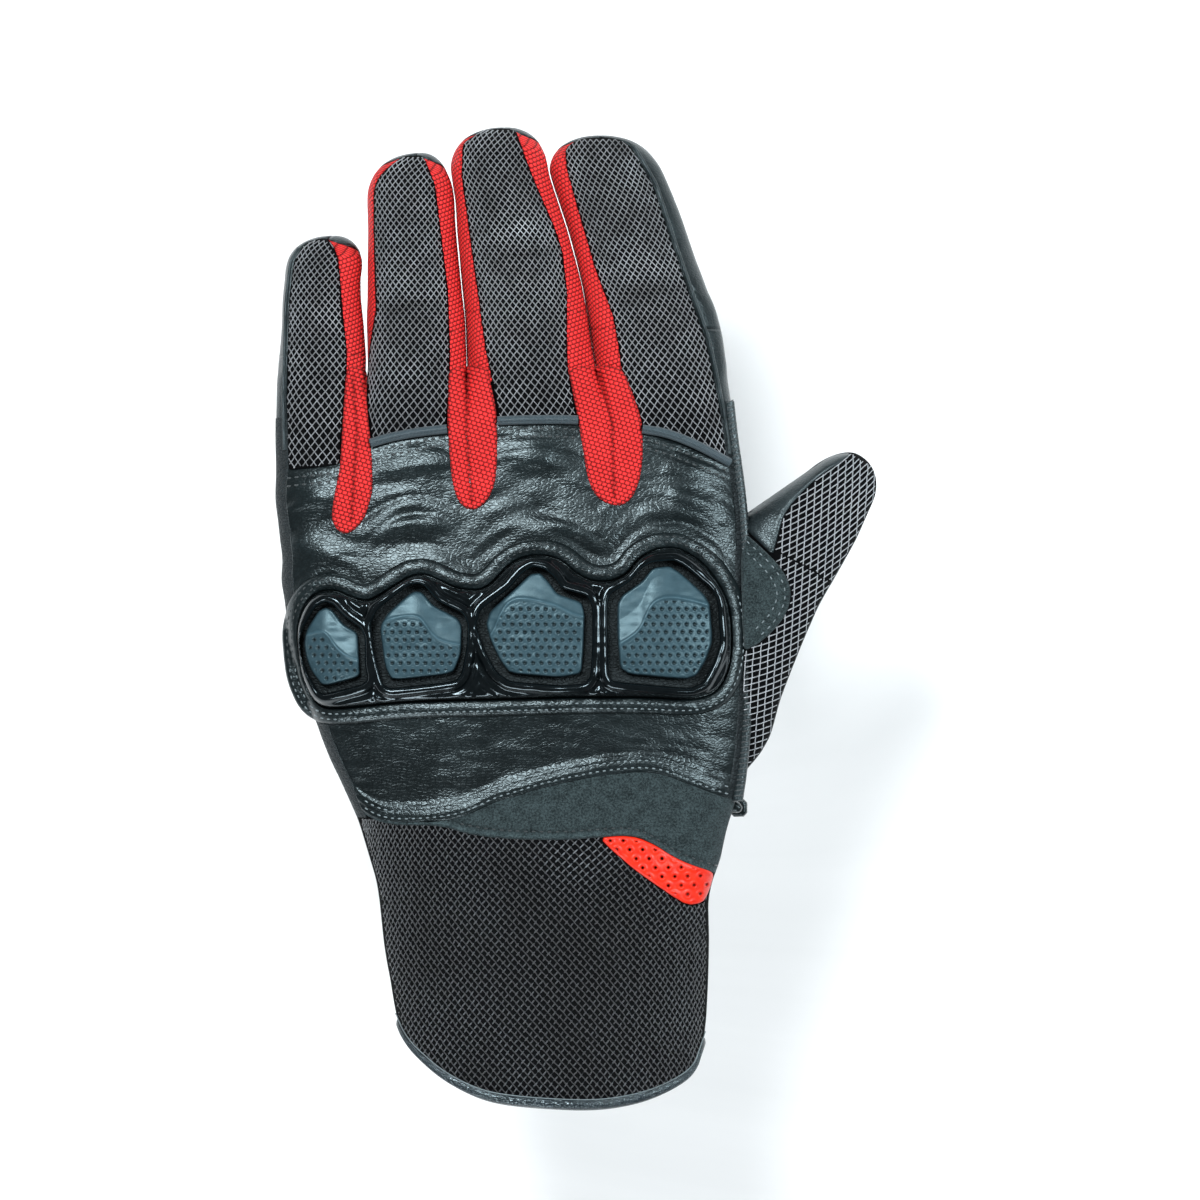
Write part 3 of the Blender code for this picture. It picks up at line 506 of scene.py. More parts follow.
def scaled(t, uv, sx, sy=None, turn=0.0):
    n = node(t, "ShaderNodeMapping", {"Vector": uv, "Scale": (sx, sx if sy is None else sy, 1), "Rotation": (0, 0, turn)})
    return n.outputs[0]


def noise_tex(t, vec, scale, detail=3.0, rough=.55):
    return node(t, "ShaderNodeTexNoise", {"Vector": vec, "Scale": scale, "Detail": detail, "Roughness": rough}).outputs[0]


def ramp(t, fac, stops):
    n = node(t, "ShaderNodeValToRGB", {"Fac": fac})
    r = n.color_ramp
    while len(r.elements) < len(stops):
        r.elements.new(.5)
    for e, (p, c) in zip(r.elements, stops):
        e.position, e.color = p, (*c, 1) if len(c) == 3 else c
    return n.outputs[0]


def math_node(t, op, a, b=0.0, c=None):
    v = [a, b] + ([c] if c is not None else [])
    return node(t, "ShaderNodeMath", v, operation=op).outputs[0]


def shaded(t, colour):
    """The colour multiplied by the mesh's painted shade and painted highlight values."""
    a = node(t, "ShaderNodeAttribute", attribute_name="shade")
    n = node(t, "ShaderNodeMix", data_type="RGBA", blend_type="MULTIPLY")
    n.inputs[0].default_value = 1
    t.links.new(colour, n.inputs[6])
    t.links.new(a.outputs["Fac"], n.inputs[7])
    return n.outputs[2]


def bumped(t, shader, h, strength, distance):
    n = node(t, "ShaderNodeBump", {"Height": h, "Strength": strength, "Distance": distance * MM})
    t.links.new(n.outputs[0], shader.inputs["Normal"])


def leather(name, dark, light, rough=(.34, .55), grain=.9, depth=.22, spec=.5, crease=.5, tint=(.78, .95, 1.0)):
    m, t, s, uv = material(name)
    warp = node(t, "ShaderNodeTexNoise", {"Vector": uv, "Scale": .3, "Detail": 2.0})
    moved = node(t, "ShaderNodeVectorMath", {0: uv, 1: warp.outputs[1]}, operation="ADD").outputs[0]
    cells = node(t, "ShaderNodeTexVoronoi", {"Vector": scaled(t, moved, .72 / grain, 1.25 / grain), "Scale": 1.0, "Randomness": 1.0},
                 feature="DISTANCE_TO_EDGE").outputs[0]
    cells = ramp(t, cells, [(0, (0, 0, 0)), (.22, (1, 1, 1))])
    fine = noise_tex(t, uv, 2.6, 4)
    wrinkle = noise_tex(t, scaled(t, moved, .28, 1.35), 1.0, 3, .55)
    big = noise_tex(t, uv, .09, 3)
    col = ramp(t, math_node(t, "ADD", math_node(t, "MULTIPLY", fine, .5), math_node(t, "MULTIPLY", big, .5)), [(.34, dark), (.66, light)])
    mix = node(t, "ShaderNodeMix", data_type="RGBA", blend_type="MULTIPLY")
    mix.inputs[0].default_value = .75
    t.links.new(col, mix.inputs[6])
    t.links.new(ramp(t, cells, [(0, (.25, .25, .25)), (.6, (1, 1, 1))]), mix.inputs[7])
    t.links.new(shaded(t, mix.outputs[2]), s.inputs["Base Color"])
    r = ramp(t, math_node(t, "ADD", math_node(t, "MULTIPLY", fine, .4), math_node(t, "MULTIPLY", big, .6)),
             [(.3, (rough[0],) * 3), (.7, (rough[1],) * 3)])
    t.links.new(r, s.inputs["Roughness"])
    h = math_node(t, "ADD", math_node(t, "MULTIPLY", cells, .8), math_node(t, "ADD", math_node(t, "MULTIPLY", fine, .15),
                  math_node(t, "MULTIPLY", wrinkle, crease * 4)))
    bumped(t, s, h, 1.0, depth)
    s.inputs["Specular IOR Level"].default_value = spec
    s.inputs["Specular Tint"].default_value = (*tint, 1)
    return m


def net_thread(name, colour, dark):
    m, t, s, uv = material(name)
    n = noise_tex(t, uv, 1.2, 3)
    t.links.new(shaded(t, ramp(t, n, [(.32, dark), (.62, colour)])), s.inputs["Base Color"])
    s.inputs["Roughness"].default_value = .48
    s.inputs["Sheen Weight"].default_value = .2
    return m


def cloth(name, dark, light, scale=2.2, depth=.12, rough=.85, sheen=.2, spec=.3):
    m, t, s, uv = material(name)
    u = node(t, "ShaderNodeTexWave", {"Vector": uv, "Scale": scale, "Distortion": .8, "Detail": 1.0}, bands_direction="X").outputs[1]
    v = node(t, "ShaderNodeTexWave", {"Vector": uv, "Scale": scale, "Distortion": .8, "Detail": 1.0}, bands_direction="Y").outputs[1]
    w = math_node(t, "MULTIPLY", u, v)
    n = noise_tex(t, uv, .8, 3)
    f = math_node(t, "ADD", math_node(t, "MULTIPLY", w, .7), math_node(t, "MULTIPLY", n, .3))
    t.links.new(shaded(t, ramp(t, f, [(.1, dark), (.75, light)])), s.inputs["Base Color"])
    s.inputs["Roughness"].default_value = rough
    s.inputs["Sheen Weight"].default_value = sheen
    s.inputs["Specular IOR Level"].default_value = spec
    bumped(t, s, w, .8, depth)
    return m


KNIT = (1.34, 1.0, .30)      # the knit's pitch across and along its rows, and their turn


def knit_height(u, v):
    c, sn = math.cos(KNIT[2]), math.sin(KNIT[2])
    u, v = u * c - v * sn, u * sn + v * c
    row = v / KNIT[1]
    col = u / KNIT[0] + .5 * np.mod(np.floor(row), 2)
    return np.abs(np.sin(np.pi * col) * np.sin(np.pi * row)) ** .6


def knit(name, dark, light):
    """A basket of short raised ovals, each row half a step on from the last."""
    m, t, s, uv = material(name)
    x0 = node(t, "ShaderNodeSeparateXYZ", {0: uv})
    c, sn = math.cos(KNIT[2]), math.sin(KNIT[2])
    u = math_node(t, "SUBTRACT", math_node(t, "MULTIPLY", x0.outputs[0], c), math_node(t, "MULTIPLY", x0.outputs[1], sn))
    v = math_node(t, "ADD", math_node(t, "MULTIPLY", x0.outputs[0], sn), math_node(t, "MULTIPLY", x0.outputs[1], c))
    row = math_node(t, "DIVIDE", v, KNIT[1])
    odd = math_node(t, "MULTIPLY", math_node(t, "FLOORED_MODULO", math_node(t, "FLOOR", row), 2.0), .5)
    col = math_node(t, "ADD", math_node(t, "DIVIDE", u, KNIT[0]), odd)
    a = math_node(t, "ABSOLUTE", math_node(t, "SINE", math_node(t, "MULTIPLY", col, math.pi)))
    b = math_node(t, "ABSOLUTE", math_node(t, "SINE", math_node(t, "MULTIPLY", row, math.pi)))
    h = math_node(t, "POWER", math_node(t, "MULTIPLY", a, b), .6)
    n = noise_tex(t, uv, 1.6, 3)
    f = math_node(t, "ADD", math_node(t, "MULTIPLY", h, .8), math_node(t, "MULTIPLY", n, .25))
    t.links.new(shaded(t, ramp(t, f, [(.15, dark), (.68, light)])), s.inputs["Base Color"])
    s.inputs["Roughness"].default_value = .6
    s.inputs["Specular IOR Level"].default_value = .18
    s.inputs["Sheen Weight"].default_value = .05
    s.inputs["Sheen Tint"].default_value = (1, .4, .35, 1)
    bumped(t, s, h, 1.0, .45)
    return m


def moulded(name, colour, rough, grain=.0, coat=0.0, wear=None, spec=.5):
    m, t, s, uv = material(name)
    n = noise_tex(t, uv, .5, 4)
    f = noise_tex(t, uv, 5.0, 3)
    lighter = tuple(min(1, c * 1.5 + .002) for c in colour) if wear is None else wear
    t.links.new(shaded(t, ramp(t, n, [(.35, colour), (.75, lighter)])), s.inputs["Base Color"])
    r = ramp(t, f, [(.3, (rough * .8,) * 3), (.7, (rough * 1.25,) * 3)])
    t.links.new(r, s.inputs["Roughness"])
    s.inputs["Coat Weight"].default_value = coat
    s.inputs["Coat Roughness"].default_value = .08
    s.inputs["Specular IOR Level"].default_value = spec
    bumped(t, s, f, .6, max(grain, .02))
    return m


def suede(name, dark, light):
    m, t, s, uv = material(name)
    f = noise_tex(t, uv, 1.9, 5, .85)
    n = noise_tex(t, uv, .35, 3)
    c = math_node(t, "ADD", math_node(t, "MULTIPLY", f, .8), math_node(t, "MULTIPLY", n, .2))
    t.links.new(shaded(t, ramp(t, c, [(.43, dark), (.585, light)])), s.inputs["Base Color"])
    s.inputs["Roughness"].default_value = .92
    s.inputs["Specular IOR Level"].default_value = .2
    s.inputs["Sheen Weight"].default_value = .12
    s.inputs["Sheen Tint"].default_value = (.7, .85, .9, 1)
    bumped(t, s, f, 1.0, .3)
    return m


LEATHER = leather("black_leather", (.0016, .0030, .0034), (.0075, .0125, .0140), rough=(.27, .37), grain=.9, depth=.042, spec=.55, crease=.14)
PALM = leather("palm_leather", (.005, .006, .007), (.017, .021, .023), rough=(.45, .65), grain=1.2, crease=.8, spec=.35)
SMOOTH = leather("edge_leather", (.004, .006, .007), (.018, .026, .029), rough=(.28, .42), grain=.6, depth=.04, spec=.6, crease=.2)
THREAD = net_thread("net_thread", (.50, .53, .57), (.07, .077, .085))
THREAD_BRIGHT = net_thread("net_thread_slant", (.22, .25, .28), (.014, .017, .020))
THREAD_DIM = net_thread("net_thread_cross", (.028, .032, .036), (.003, .004, .005))
UNDER = cloth("net_under", (.0008, .0009, .0012), (.0025, .0028, .0036), scale=1.6, sheen=0, spec=.06)
RED = knit("red_knit", (.05, .0006, .0009), (.78, .030, .030))
SHELL = moulded("guard_plastic", (.0010, .0018, .0022), .14, .01, coat=.12, spec=.38)
SHELL.node_tree.nodes["Principled BSDF"].inputs["Specular Tint"].default_value = (.7, .9, 1, 1)
INSERT = moulded("grey_insert", (.020, .042, .054), .36, .05, wear=(.030, .060, .076), spec=.45)
INSERT.node_tree.nodes["Principled BSDF"].inputs["Specular Tint"].default_value = (.65, .92, 1, 1)
PIPING = cloth("grey_piping", (.016, .030, .038), (.060, .092, .110), scale=.9, rough=.38)
SUEDE = suede("grey_suede", (.0030, .0070, .0080), (.042, .062, .066))
ACCENT = moulded("orange_red", (.62, .012, .002), .38, .05, wear=(.80, .026, .005), spec=.35)
BINDING = leather("hem_binding", (.004, .006, .008), (.020, .028, .036), rough=(.18, .30), grain=.5, depth=.06, spec=.7)
STITCH = net_thread("stitch_dark", (.030, .042, .046), (.006, .009, .010))
STITCH_LIGHT = net_thread("stitch_light", (.20, .25, .27), (.05, .07, .075))
LINING = cloth("lining", (.006, .007, .008), (.020, .022, .024), scale=1.2)
FOAM = cloth("foam_grey", (.03, .03, .03), (.06, .06, .06), scale=1.0)
HOOK = cloth("hook_tape", (.004, .004, .005), (.020, .020, .022), scale=2.8, depth=.4)

made = {}


def piece(obj, body=None, between=None, start=None, end=None, nodes=(), slot=None):
    if body:
        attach(obj, body)
    else:
        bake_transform(obj)
    if nodes:
        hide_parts(*nodes)
    made[obj.name] = obj
    return obj


WRIST_ZONE = ((-9, -52.0, 15), (-10.2, -64.2, 15))


def wrist(obj, **k):
    return piece(obj, between=("hand", "cuff"), start=WRIST_ZONE[0], end=WRIST_ZONE[1], **k)


def finger_zone(key, at, half):
    f = FINGERS[key]
    a = math.radians(f["lean"])
    d = np.array([-math.sin(a), math.cos(a)])
    r = np.array(f["root"])
    s, e = r + d * (at - half), r + d * (at + half)
    return (*s, AXIS_Z), (*e, AXIS_Z)


# ------------------------------------------------------------------ fingers
# the net panel's edges on each finger, as (row, x) on the layout grid, from the tip to the piping
NET = {
    "little": dict(left=[(236, 320), (240, 308), (245, 302), (260, 293), (275, 291), (305, 288), (350, 287), (400, 286), (440, 287), (475, 289)],
                   right=[(236, 325), (238, 326), (243, 333), (258, 339), (276, 341), (317, 344), (350, 348), (372, 348), (400, 346), (440, 343), (475, 342)],
                   top=238, low=[(289, 470), (315, 468), (343, 465)], inner="right"),
    "ring": dict(left=[(154, 404), (160, 396), (170, 384), (180, 376), (193, 373), (259, 374), (309, 376), (350, 369), (375, 367), (410, 368), (443, 373)],
                 right=[(154, 423), (156, 424), (160, 426), (185, 436), (234, 442), (292, 449), (350, 451), (390, 451), (420, 448), (443, 447)],
                 top=155, low=[(368, 447), (392, 437), (420, 431), (450, 429)], inner="both"),
    "mid": dict(left=[(127, 488), (133, 476), (143, 462), (176, 461), (234, 469), (292, 477), (350, 485), (369, 489), (400, 496), (424, 499)],
                right=[(127, 514), (130, 517), (140, 520), (176, 533), (223, 553), (251, 563), (292, 568), (342, 568), (370, 569), (400, 575), (424, 578)],
                top=128, low=[(495, 421), (540, 420), (580, 421)], inner="both"),
    "index": dict(left=[(136, 585), (138, 578), (144, 568), (150, 564), (170, 566), (213, 578), (268, 594), (317, 612), (350, 618), (369, 620), (400, 633), (430, 643)],
                  right=[(136, 607), (138, 620), (142, 629), (160, 640), (185, 654), (244, 673), (294, 690), (339, 706), (374, 714), (410, 721), (440, 726), (463, 728)],
                  top=137, low=[(640, 429), (668, 435), (700, 446), (729, 463)], inner="left"),
}


def edge(key, side, y):
    rows = NET[key][side]
    b = 616.5 - 4 * np.asarray(y, float)
    t = [r[0] for r in rows]
    v = blurred(np.interp(np.arange(100, 500), t, [(r[1] - 575) / 4 for r in rows]), 3)
    return np.interp(b, np.arange(100, 500), v)


def low_line(key, x):
    pts = plan(*NET[key]["low"])
    return np.interp(x, [p[0] for p in pts], [p[1] for p in pts])


FINGER_ROWS = {}
for key, f in FINGERS.items():
    tip = f["rows"].tip
    a = math.radians(f["lean"])
    cut = f["root"][1] + f["split"] * math.cos(a)
    y_top = (616.5 - NET[key]["top"]) / 4
    zones = {"base": (("hand", f"{key}_base"), *finger_zone(key, 0, f["zone"])),
             "tip": ((f"{key}_base", f"{key}_tip"), *finger_zone(key, f["middle"], min(6.5, f["middle"] - f["split"] - .2)))}
    y_low = 47.0 if key != "little" else 38.0

    def net_point(y, u, key=key):
        l, r = edge(key, "left", y), edge(key, "right", y)
        return l + (r - l) * u

    def rolled(y, u, x, key=key):
        """How far the net tucks in beside its seams."""
        l, r = edge(key, "left", y), edge(key, "right", y)
        d = np.minimum(x - l, r - x)
        return -.55 * np.exp(-(np.maximum(d, 0) / .55) ** 2)

    for seg in ("base", "tip"):
        bodies, zs, ze = zones[seg]
        lo_y, hi_y = (None, cut) if seg == "base" else (cut, y_top)
        nu = 34
        u = np.linspace(0, 1, nu)
        if seg == "base":
            nv = 60
            x0 = net_point(50.0, u)
            start_y = low_line(key, x0)
            Y = start_y[None, :] + (hi_y - start_y[None, :]) * np.linspace(0, 1, nv)[:, None]
        else:
            nv = int((hi_y - lo_y) / .55)
            Y = np.repeat(np.linspace(lo_y, hi_y, nv)[:, None], nu, 1)
        U = np.repeat(u[None, :], len(Y), 0)
        X = net_point(Y, U)
        Z = top(X, Y) + rolled(Y, U, X)
        piece(grid(f"{key}_net_{seg}", np.stack([X, Y, Z], -1), UNDER, thick=.7), between=bodies, start=zs, end=ze,
              nodes=(f"{key}_{seg}_back",), slot="net_mesh")

        # the net's own threads: two families that cross as diamonds, wider towards the root
        y_from = lo_y if lo_y is not None else 36.0
        ys = np.linspace(y_from, hi_y, int(round((hi_y - y_from) / .5)) + 1)
        cell_h = np.interp(ys, [45, 62, 80], [2.6, 2.2, 1.95])
        full = np.arange(30.0, 126.0, .25)
        g = np.concatenate([[0], np.cumsum(.25 / np.interp(full[:-1], [45, 62, 80], [2.6, 2.2, 1.95]))])
        gy = np.interp(ys, full, g)
        wid = np.interp(ys, [45, 62, 80], [2.25, 1.95, 1.72])
        l, r, _, _ = f["rows"](ys)
        cx, hw = (l + r) / 2, np.maximum((r - l) / 2, .5)
        runs = []
        for way in (1, -1):
            for n in np.arange(-75, 75):
                Xa = wid * (n - way * gy + (0 if way == 1 else .5))
                ang = Xa / (1.12 * hw) if False else Xa / np.maximum(hw, 7.5) / 1.08
                ok = np.abs(ang) < 1.5
                x = cx + hw * np.sin(np.clip(ang, -1.5, 1.5))
                x = x + .10 * noise(x * .9, ys * .9, 11 + way)
                L, R = edge(key, "left", ys), edge(key, "right", ys)
                ok &= (x > L + .35) & (x < R - .35) & (ys > low_line(key, x) + .2) & (ys < y_top - .2)
                z = top(x, ys) + rolled(ys, None, x) + .2 + .09 * way * np.cos(np.pi * (Xa / wid * 2))
                idx = np.flatnonzero(ok)
                if len(idx) < 3:
                    continue
                for part in np.split(idx, np.flatnonzero(np.diff(idx) > 1) + 1):
                    if len(part) >= 3:
                        runs.append(np.column_stack([x[part], ys[part], z[part]]))
        # the threads' colour carries painted highlight over the knuckles and painted shade in the creases below them
        t = tubes(f"{key}_threads_{seg}", runs, THREAD, .14, 3, .8, colour_factor=finger_tone_and_painted_light)
        piece(t, between=bodies, start=zs, end=ze, slot="net_mesh")

        if key in ("little", "index"):     # rolled seam where the net meets the leather side
            side_name, out = ("left", -1) if key == "little" else ("right", 1)
            yr = np.linspace(41.5 if key == "little" else 40.5, hi_y, 90) if seg == "base" else np.linspace(cut, y_top - 2.5, 90)
            xr = edge(key, side_name, yr) + out * .55
            l, r, _, _ = f["rows"](yr)
            hl, hr, _, _ = hand_rows(yr)
            xr = np.clip(xr, np.maximum(l, hl - 9 * (yr > 60)) + .8, np.minimum(r, hr + 9 * (yr > 60)) - .8)
            roll = tubes(f"{key}_seam_roll_{seg}", [np.column_stack([xr, yr, top(xr, yr) + .05])], SMOOTH, .5, 8)
            piece(roll, between=bodies, start=zs, end=ze, slot="black_leather")

        # side walls and palm follow the finger's section
        wall_lo = 49.6 if seg == "base" else cut
        wall_hi = cut if seg == "base" else tip - .02
        if seg == "base":
            ys = np.linspace(wall_lo, wall_hi, int((wall_hi - wall_lo) / .7) + 2)
        else:
            k = np.linspace(0, 1, int((wall_hi - wall_lo) / .7) + 8)
            ys = wall_lo + (wall_hi - wall_lo) * (1 - (1 - k) ** 1.55)

        def seam_phi(side, y, key=key, f=f):
            yy = np.minimum(y, y_top)
            x = edge(key, side, yy)
            return phi_of(f["rows"], np.minimum(y, tip - .6), x)

        left_red, right_red = key in ("ring", "mid", "index"), key in ("little", "ring", "mid")
        pl, pr = seam_phi("left", ys), seam_phi("right", ys)
        over = step(y_top - 1.0, tip - .5, ys)      # past the net, the leather closes over the tip
        pl, pr = pl * (1 - over) + (np.pi / 2) * over, pr * (1 - over) + (np.pi / 2) * over

        def strip(name, a, b, n, mat, yv, nodes, slot, flip, tuck=.35, sink=0.0):
            k = np.linspace(0, 1, n)
            PH = a[:, None] + (b - a)[:, None] * k[None, :]
            YY = np.repeat(yv[:, None], n, 1)
            X, Z = finger_point(f, YY, PH)
            P = np.stack([X, YY, Z], -1)
            l, r, lo_, hi_ = f["rows"](yv)
            C = np.stack([(l + r) / 2, yv, (lo_ + hi_) / 2], -1)[:, None, :]
            D = P - C
            size = np.linalg.norm(D[..., [0, 2]], axis=-1, keepdims=True)
            dist = np.minimum(k, 1 - k)[None, :, None] * np.linalg.norm(np.diff(P, axis=1), axis=2).sum(1)[:, None, None]
            P = P - D / np.maximum(size, .5) * (tuck * np.exp(-(dist / .5) ** 2) + sink)
            o = grid(name, P, mat, flip=bool(np.mean(b - a) > 0), thick=.8)
            return piece(o, between=bodies, start=zs, end=ze, nodes=nodes, slot=slot)

        low_r = np.full(len(ys), math.radians(-30)) if right_red else pr
        low_l = np.full(len(ys), math.radians(210)) if left_red else pl
        if seg == "tip":    # the side walls end before the tip
            k = step(tip - 6, tip - 1.2, ys)
            low_r = low_r + (pr - low_r) * k
            low_l = low_l + (pl - low_l) * k
        yr = ys if seg == "tip" else ys
        start = 0 if seg == "tip" else int(np.argmax(ys > 58.5))
        if right_red:
            strip(f"{key}_red_right_{seg}", low_r[start:], pr[start:], 16, RED, ys[start:], (f"{key}_{seg}_side_r",), "red_knit", False, sink=.12)
        if left_red:
            strip(f"{key}_red_left_{seg}", pl[start:], low_l[start:], 16, RED, ys[start:], (f"{key}_{seg}_side_l",), "red_knit", False, sink=.12)
        strip(f"{key}_leather_{seg}", low_l, low_r + 2 * np.pi, 46, SMOOTH if key in () else LEATHER, ys, (f"{key}_{seg}_palm",), "black_leather", False)

# ------------------------------------------------------------------ hand: back leather
PIPE = plan((262, 473), (290, 470), (343, 465), (373, 443), (447, 429), (499, 421), (577, 421), (643, 429), (729, 463), (748, 474))
PIPE = PIPE + []
WAVY = plan((330, 790), (356, 804), (370, 816), (393, 824), (441, 821), (466, 816), (499, 800), (516, 796), (540, 788), (571, 781),
            (601, 775), (653, 770), (693, 786), (725, 799), (760, 806))
PIPE_S = rounded(PIPE, closed=False, spacing=1.0, turns=1)
WAVY_S = rounded(WAVY, closed=False, spacing=1.0, turns=3)
GUARD = plan((301, 656), (299, 630), (306, 606), (320, 592), (337, 591), (350, 597), (363, 602), (376, 600), (396, 587), (412, 577), (426, 575), (442, 582),
             (456, 589), (478, 592), (492, 586), (510, 566), (524, 558), (544, 556), (561, 561), (575, 574), (590, 582), (610, 583), (628, 575), (639, 559),
             (656, 550), (676, 549), (690, 556), (706, 568), (722, 591), (729, 611), (731, 647), (726, 674), (713, 692), (690, 698), (643, 695), (577, 695),
             (511, 697), (412, 699), (330, 708), (314, 700), (304, 677))
GUARD_S = rounded(GUARD, spacing=.7, turns=2)


def at_x(line, x):
    line = np.asarray(line, float)
    return np.interp(x, line[:, 0], line[:, 1])


def folds(x, y):
    """Creases of the back leather: they run across the hand and follow the guard's wavy edge."""
    d = distance(GUARD_S, x, y) * np.where(inside(GUARD_S, x, y), 0, 1)
    upper = step(0, 9, y)
    lower = 1 - step(-27, -20, y)
    warp = 1.6 * noise(x * .05, y * .05, 21)
    a = np.abs(noise(x * .045 + warp * .3, (d + warp) * .24, 22))
    b = np.abs(noise(x * .11 + 5, (d + warp) * .48 + 9, 23))
    c = np.abs(noise(x * .05 + 7 + y * .05, y * .40 + x * .05 + warp, 24))
    e = np.abs(noise(x * .16 + 2, y * .95 + x * .12 + warp, 25))
    g = noise(x * .10 + 4, (d + warp) * .34, 26)
    z = upper * (.50 * np.minimum(a * 2.0, 1) ** .8 + .12 * np.minimum(b * 2, 1) + .34 * g - .42)
    z = z + lower * (.11 * np.minimum(c * 2.4, 1) + .08 * np.minimum(e * 2, 1) - .14) - .035 * lower * (-22 - np.clip(y, -46, -22))
    for px, py, rx, ry, amp, turn in ((424, 466, 8, 4.5, 1.5, 8), (320, 492, 7, 4, 1.4, 0), (530, 453, 8, 4.5, 1.3, 0), (560, 530, 12, 3, 1.1, -4),
                                      (410, 525, 10, 3, 1.0, 10), (690, 492, 9, 6, 1.5, -18), (690, 545, 9, 3, 1.0, -24), (312, 548, 8, 3, 1.0, -8)):
        (cx, cy), = plan((px, py))
        z = z + amp * bump(x, y, cx, cy, rx, ry, turn)
    near = np.exp(-(np.minimum(np.abs(y - at_x(PIPE_S, x)), np.abs(y - at_x(WAVY_S, x))) / 2.2) ** 2)
    z = z * (1 - .7 * near) * (1 - .8 * np.exp(-(d / 2.5) ** 2))
    hem = y - at_x(WAVY_S, x)
    return z * (1 - .8 * np.exp(-(hem / 4.5) ** 4)) + .55 * step(5.4, 3.9, hem) * step(-.2, .5, hem)


def groove(x, y):
    """Stitch rows sink into the leather beside its seams."""
    dp = at_x(PIPE_S, x) - y
    dw = y - at_x(WAVY_S, x)
    z = -.22 * np.exp(-((dp - 2.1) / .35) ** 2) - .22 * np.exp(-((dp - 4.1) / .35) ** 2)
    z = z - .34 * np.exp(-((dw - 1.5) / .4) ** 2) - .34 * np.exp(-((dw - 3.3) / .4) ** 2)
    return z - .35 * np.exp(-(np.maximum(dp, 0) / .6) ** 2) - .5 * np.exp(-(np.maximum(dw, 0) / .5) ** 2)


def skin(x, y):
    return top(x, y) + folds(x, y) + groove(x, y)


nu, nv = 190, 150
phis = np.radians(np.linspace(160, 20, nu))


def on_line(line, phis, guess):
    y = np.full(len(phis), guess, float)
    for _ in range(8):
        x, _z = section(hand_rows, y, phis)
        y = at_x(line, x)
    return y


y_hi, y_lo = on_line(PIPE_S, phis, 44.0) + .2, on_line(WAVY_S, phis, -45.0)
k = np.linspace(0, 1, nv)[:, None]
Y = y_lo[None, :] + (y_hi - y_lo)[None, :] * k
X, _z = section(hand_rows, Y, np.repeat(phis[None, :], nv, 0))
F = folds(X, Y)
Z = top(X, Y) + F + groove(X, Y)
side = np.clip(np.sin(phis) * 2.2, 0, 1)[None, :]
Z0 = height(hand_rows, X, Y)
Z = Z0 + (Z - Z0) * side
# shade values: painted highlight on the raised folds, painted shade in the creases
piece(grid("back_leather_panel", np.stack([X, Y, Z], -1), LEATHER, uv=np.stack([X, Y], -1), thick=1.0,
           shade=np.clip(.8 + F * .35, .35, 1.15)), body="hand", nodes=("back_leather",), slot="black_leather")

# net yoke under everything at the finger roots
xs = np.linspace(-73.5, 38.5, 150)
ys = np.linspace(0, 1, 30)[:, None]
lo = at_x(PIPE_S, xs) - 1.5
Yk = lo[None, :] + (58.0 - lo)[None, :] * ys
Xk = np.repeat(xs[None, :], 30, 0)
hl, hr, _, _ = hand_rows(Yk)
Xk = hl + .9 + (hr - hl - 1.8) * (Xk + 73.5) / 112.0
piece(grid("net_yoke", np.stack([Xk, Yk, top(Xk, Yk) - .9], -1), UNDER, thick=.5), body="hand", nodes=("mesh_yoke",), slot="net_mesh")

# piping, a round cord in a folded strip
for key, pts in (("ring", plan((372, 444), (392, 438), (420, 433), (448, 430))),
                 ("mid", plan((498, 422), (520, 421), (556, 420.5), (578, 421))),
                 ("index", plan((642, 430), (668, 434), (700, 447), (729, 463)))):
    line = rounded(pts, closed=False, spacing=.6)
    r = on(top, line, .75)
    piece(tubes(f"piping_cord_{key}", [r], PIPING, 1.15, 14), body="hand", nodes=(f"piping_{key}",), slot="grey_piping")

rows, wavy_rows = [], []
for a, b in ((286, 341), (376, 446), (500, 577), (645, 727)):
    xs = np.linspace((a - 575) / 4, (b - 575) / 4, 60)
    for off in (2.1, 4.1):
        rows.append(np.stack([xs, at_x(PIPE_S, xs) - off], 1))
for off in (1.5, 3.3):
    xs = np.linspace(-52.5, 38.5, 160)
    wavy_rows.append(np.stack([xs, at_x(WAVY_S, xs) + off], 1))
piece(stitches("leather_stitches", rows, skin, STITCH, pitch=1.95, length=1.3, radius=.26, lift=.14), body="hand")
piece(stitches("edge_stitches", wavy_rows, skin, STITCH_LIGHT, pitch=1.75, length=1.1, radius=.20, lift=.14), body="hand")

# ------------------------------------------------------------------ red tongues between the finger roots
TONGUES = {
    "little_ring": plan((347, 366), (345, 400), (343, 440), (341, 470), (335, 500), (333, 519), (338, 530), (346, 535), (356, 531), (366, 519),
                        (371, 505), (374, 492), (374, 463), (370, 425), (367, 395), (367, 366)),
    "ring_mid": plan((449, 366), (449, 395), (448, 420), (450, 450), (453, 484), (458, 500), (466, 509), (476, 511), (487, 503), (496, 486), (498, 460),
                     (498, 436), (497, 410), (490, 380), (488, 366)),
    "mid_index": plan((568, 366), (572, 390), (578, 420), (583, 450), (587, 478), (594, 495), (607, 505), (621, 507), (632, 499), (640, 481), (643, 455),
                      (642, 422), (633, 395), (622, 366)),
}
SPINE = {"little_ring": plan((352, 360), (358, 430), (353, 520)), "ring_mid": plan((467, 360), (467, 430), (473, 505)),
         "mid_index": plan((596, 360), (612, 424), (614, 500))}
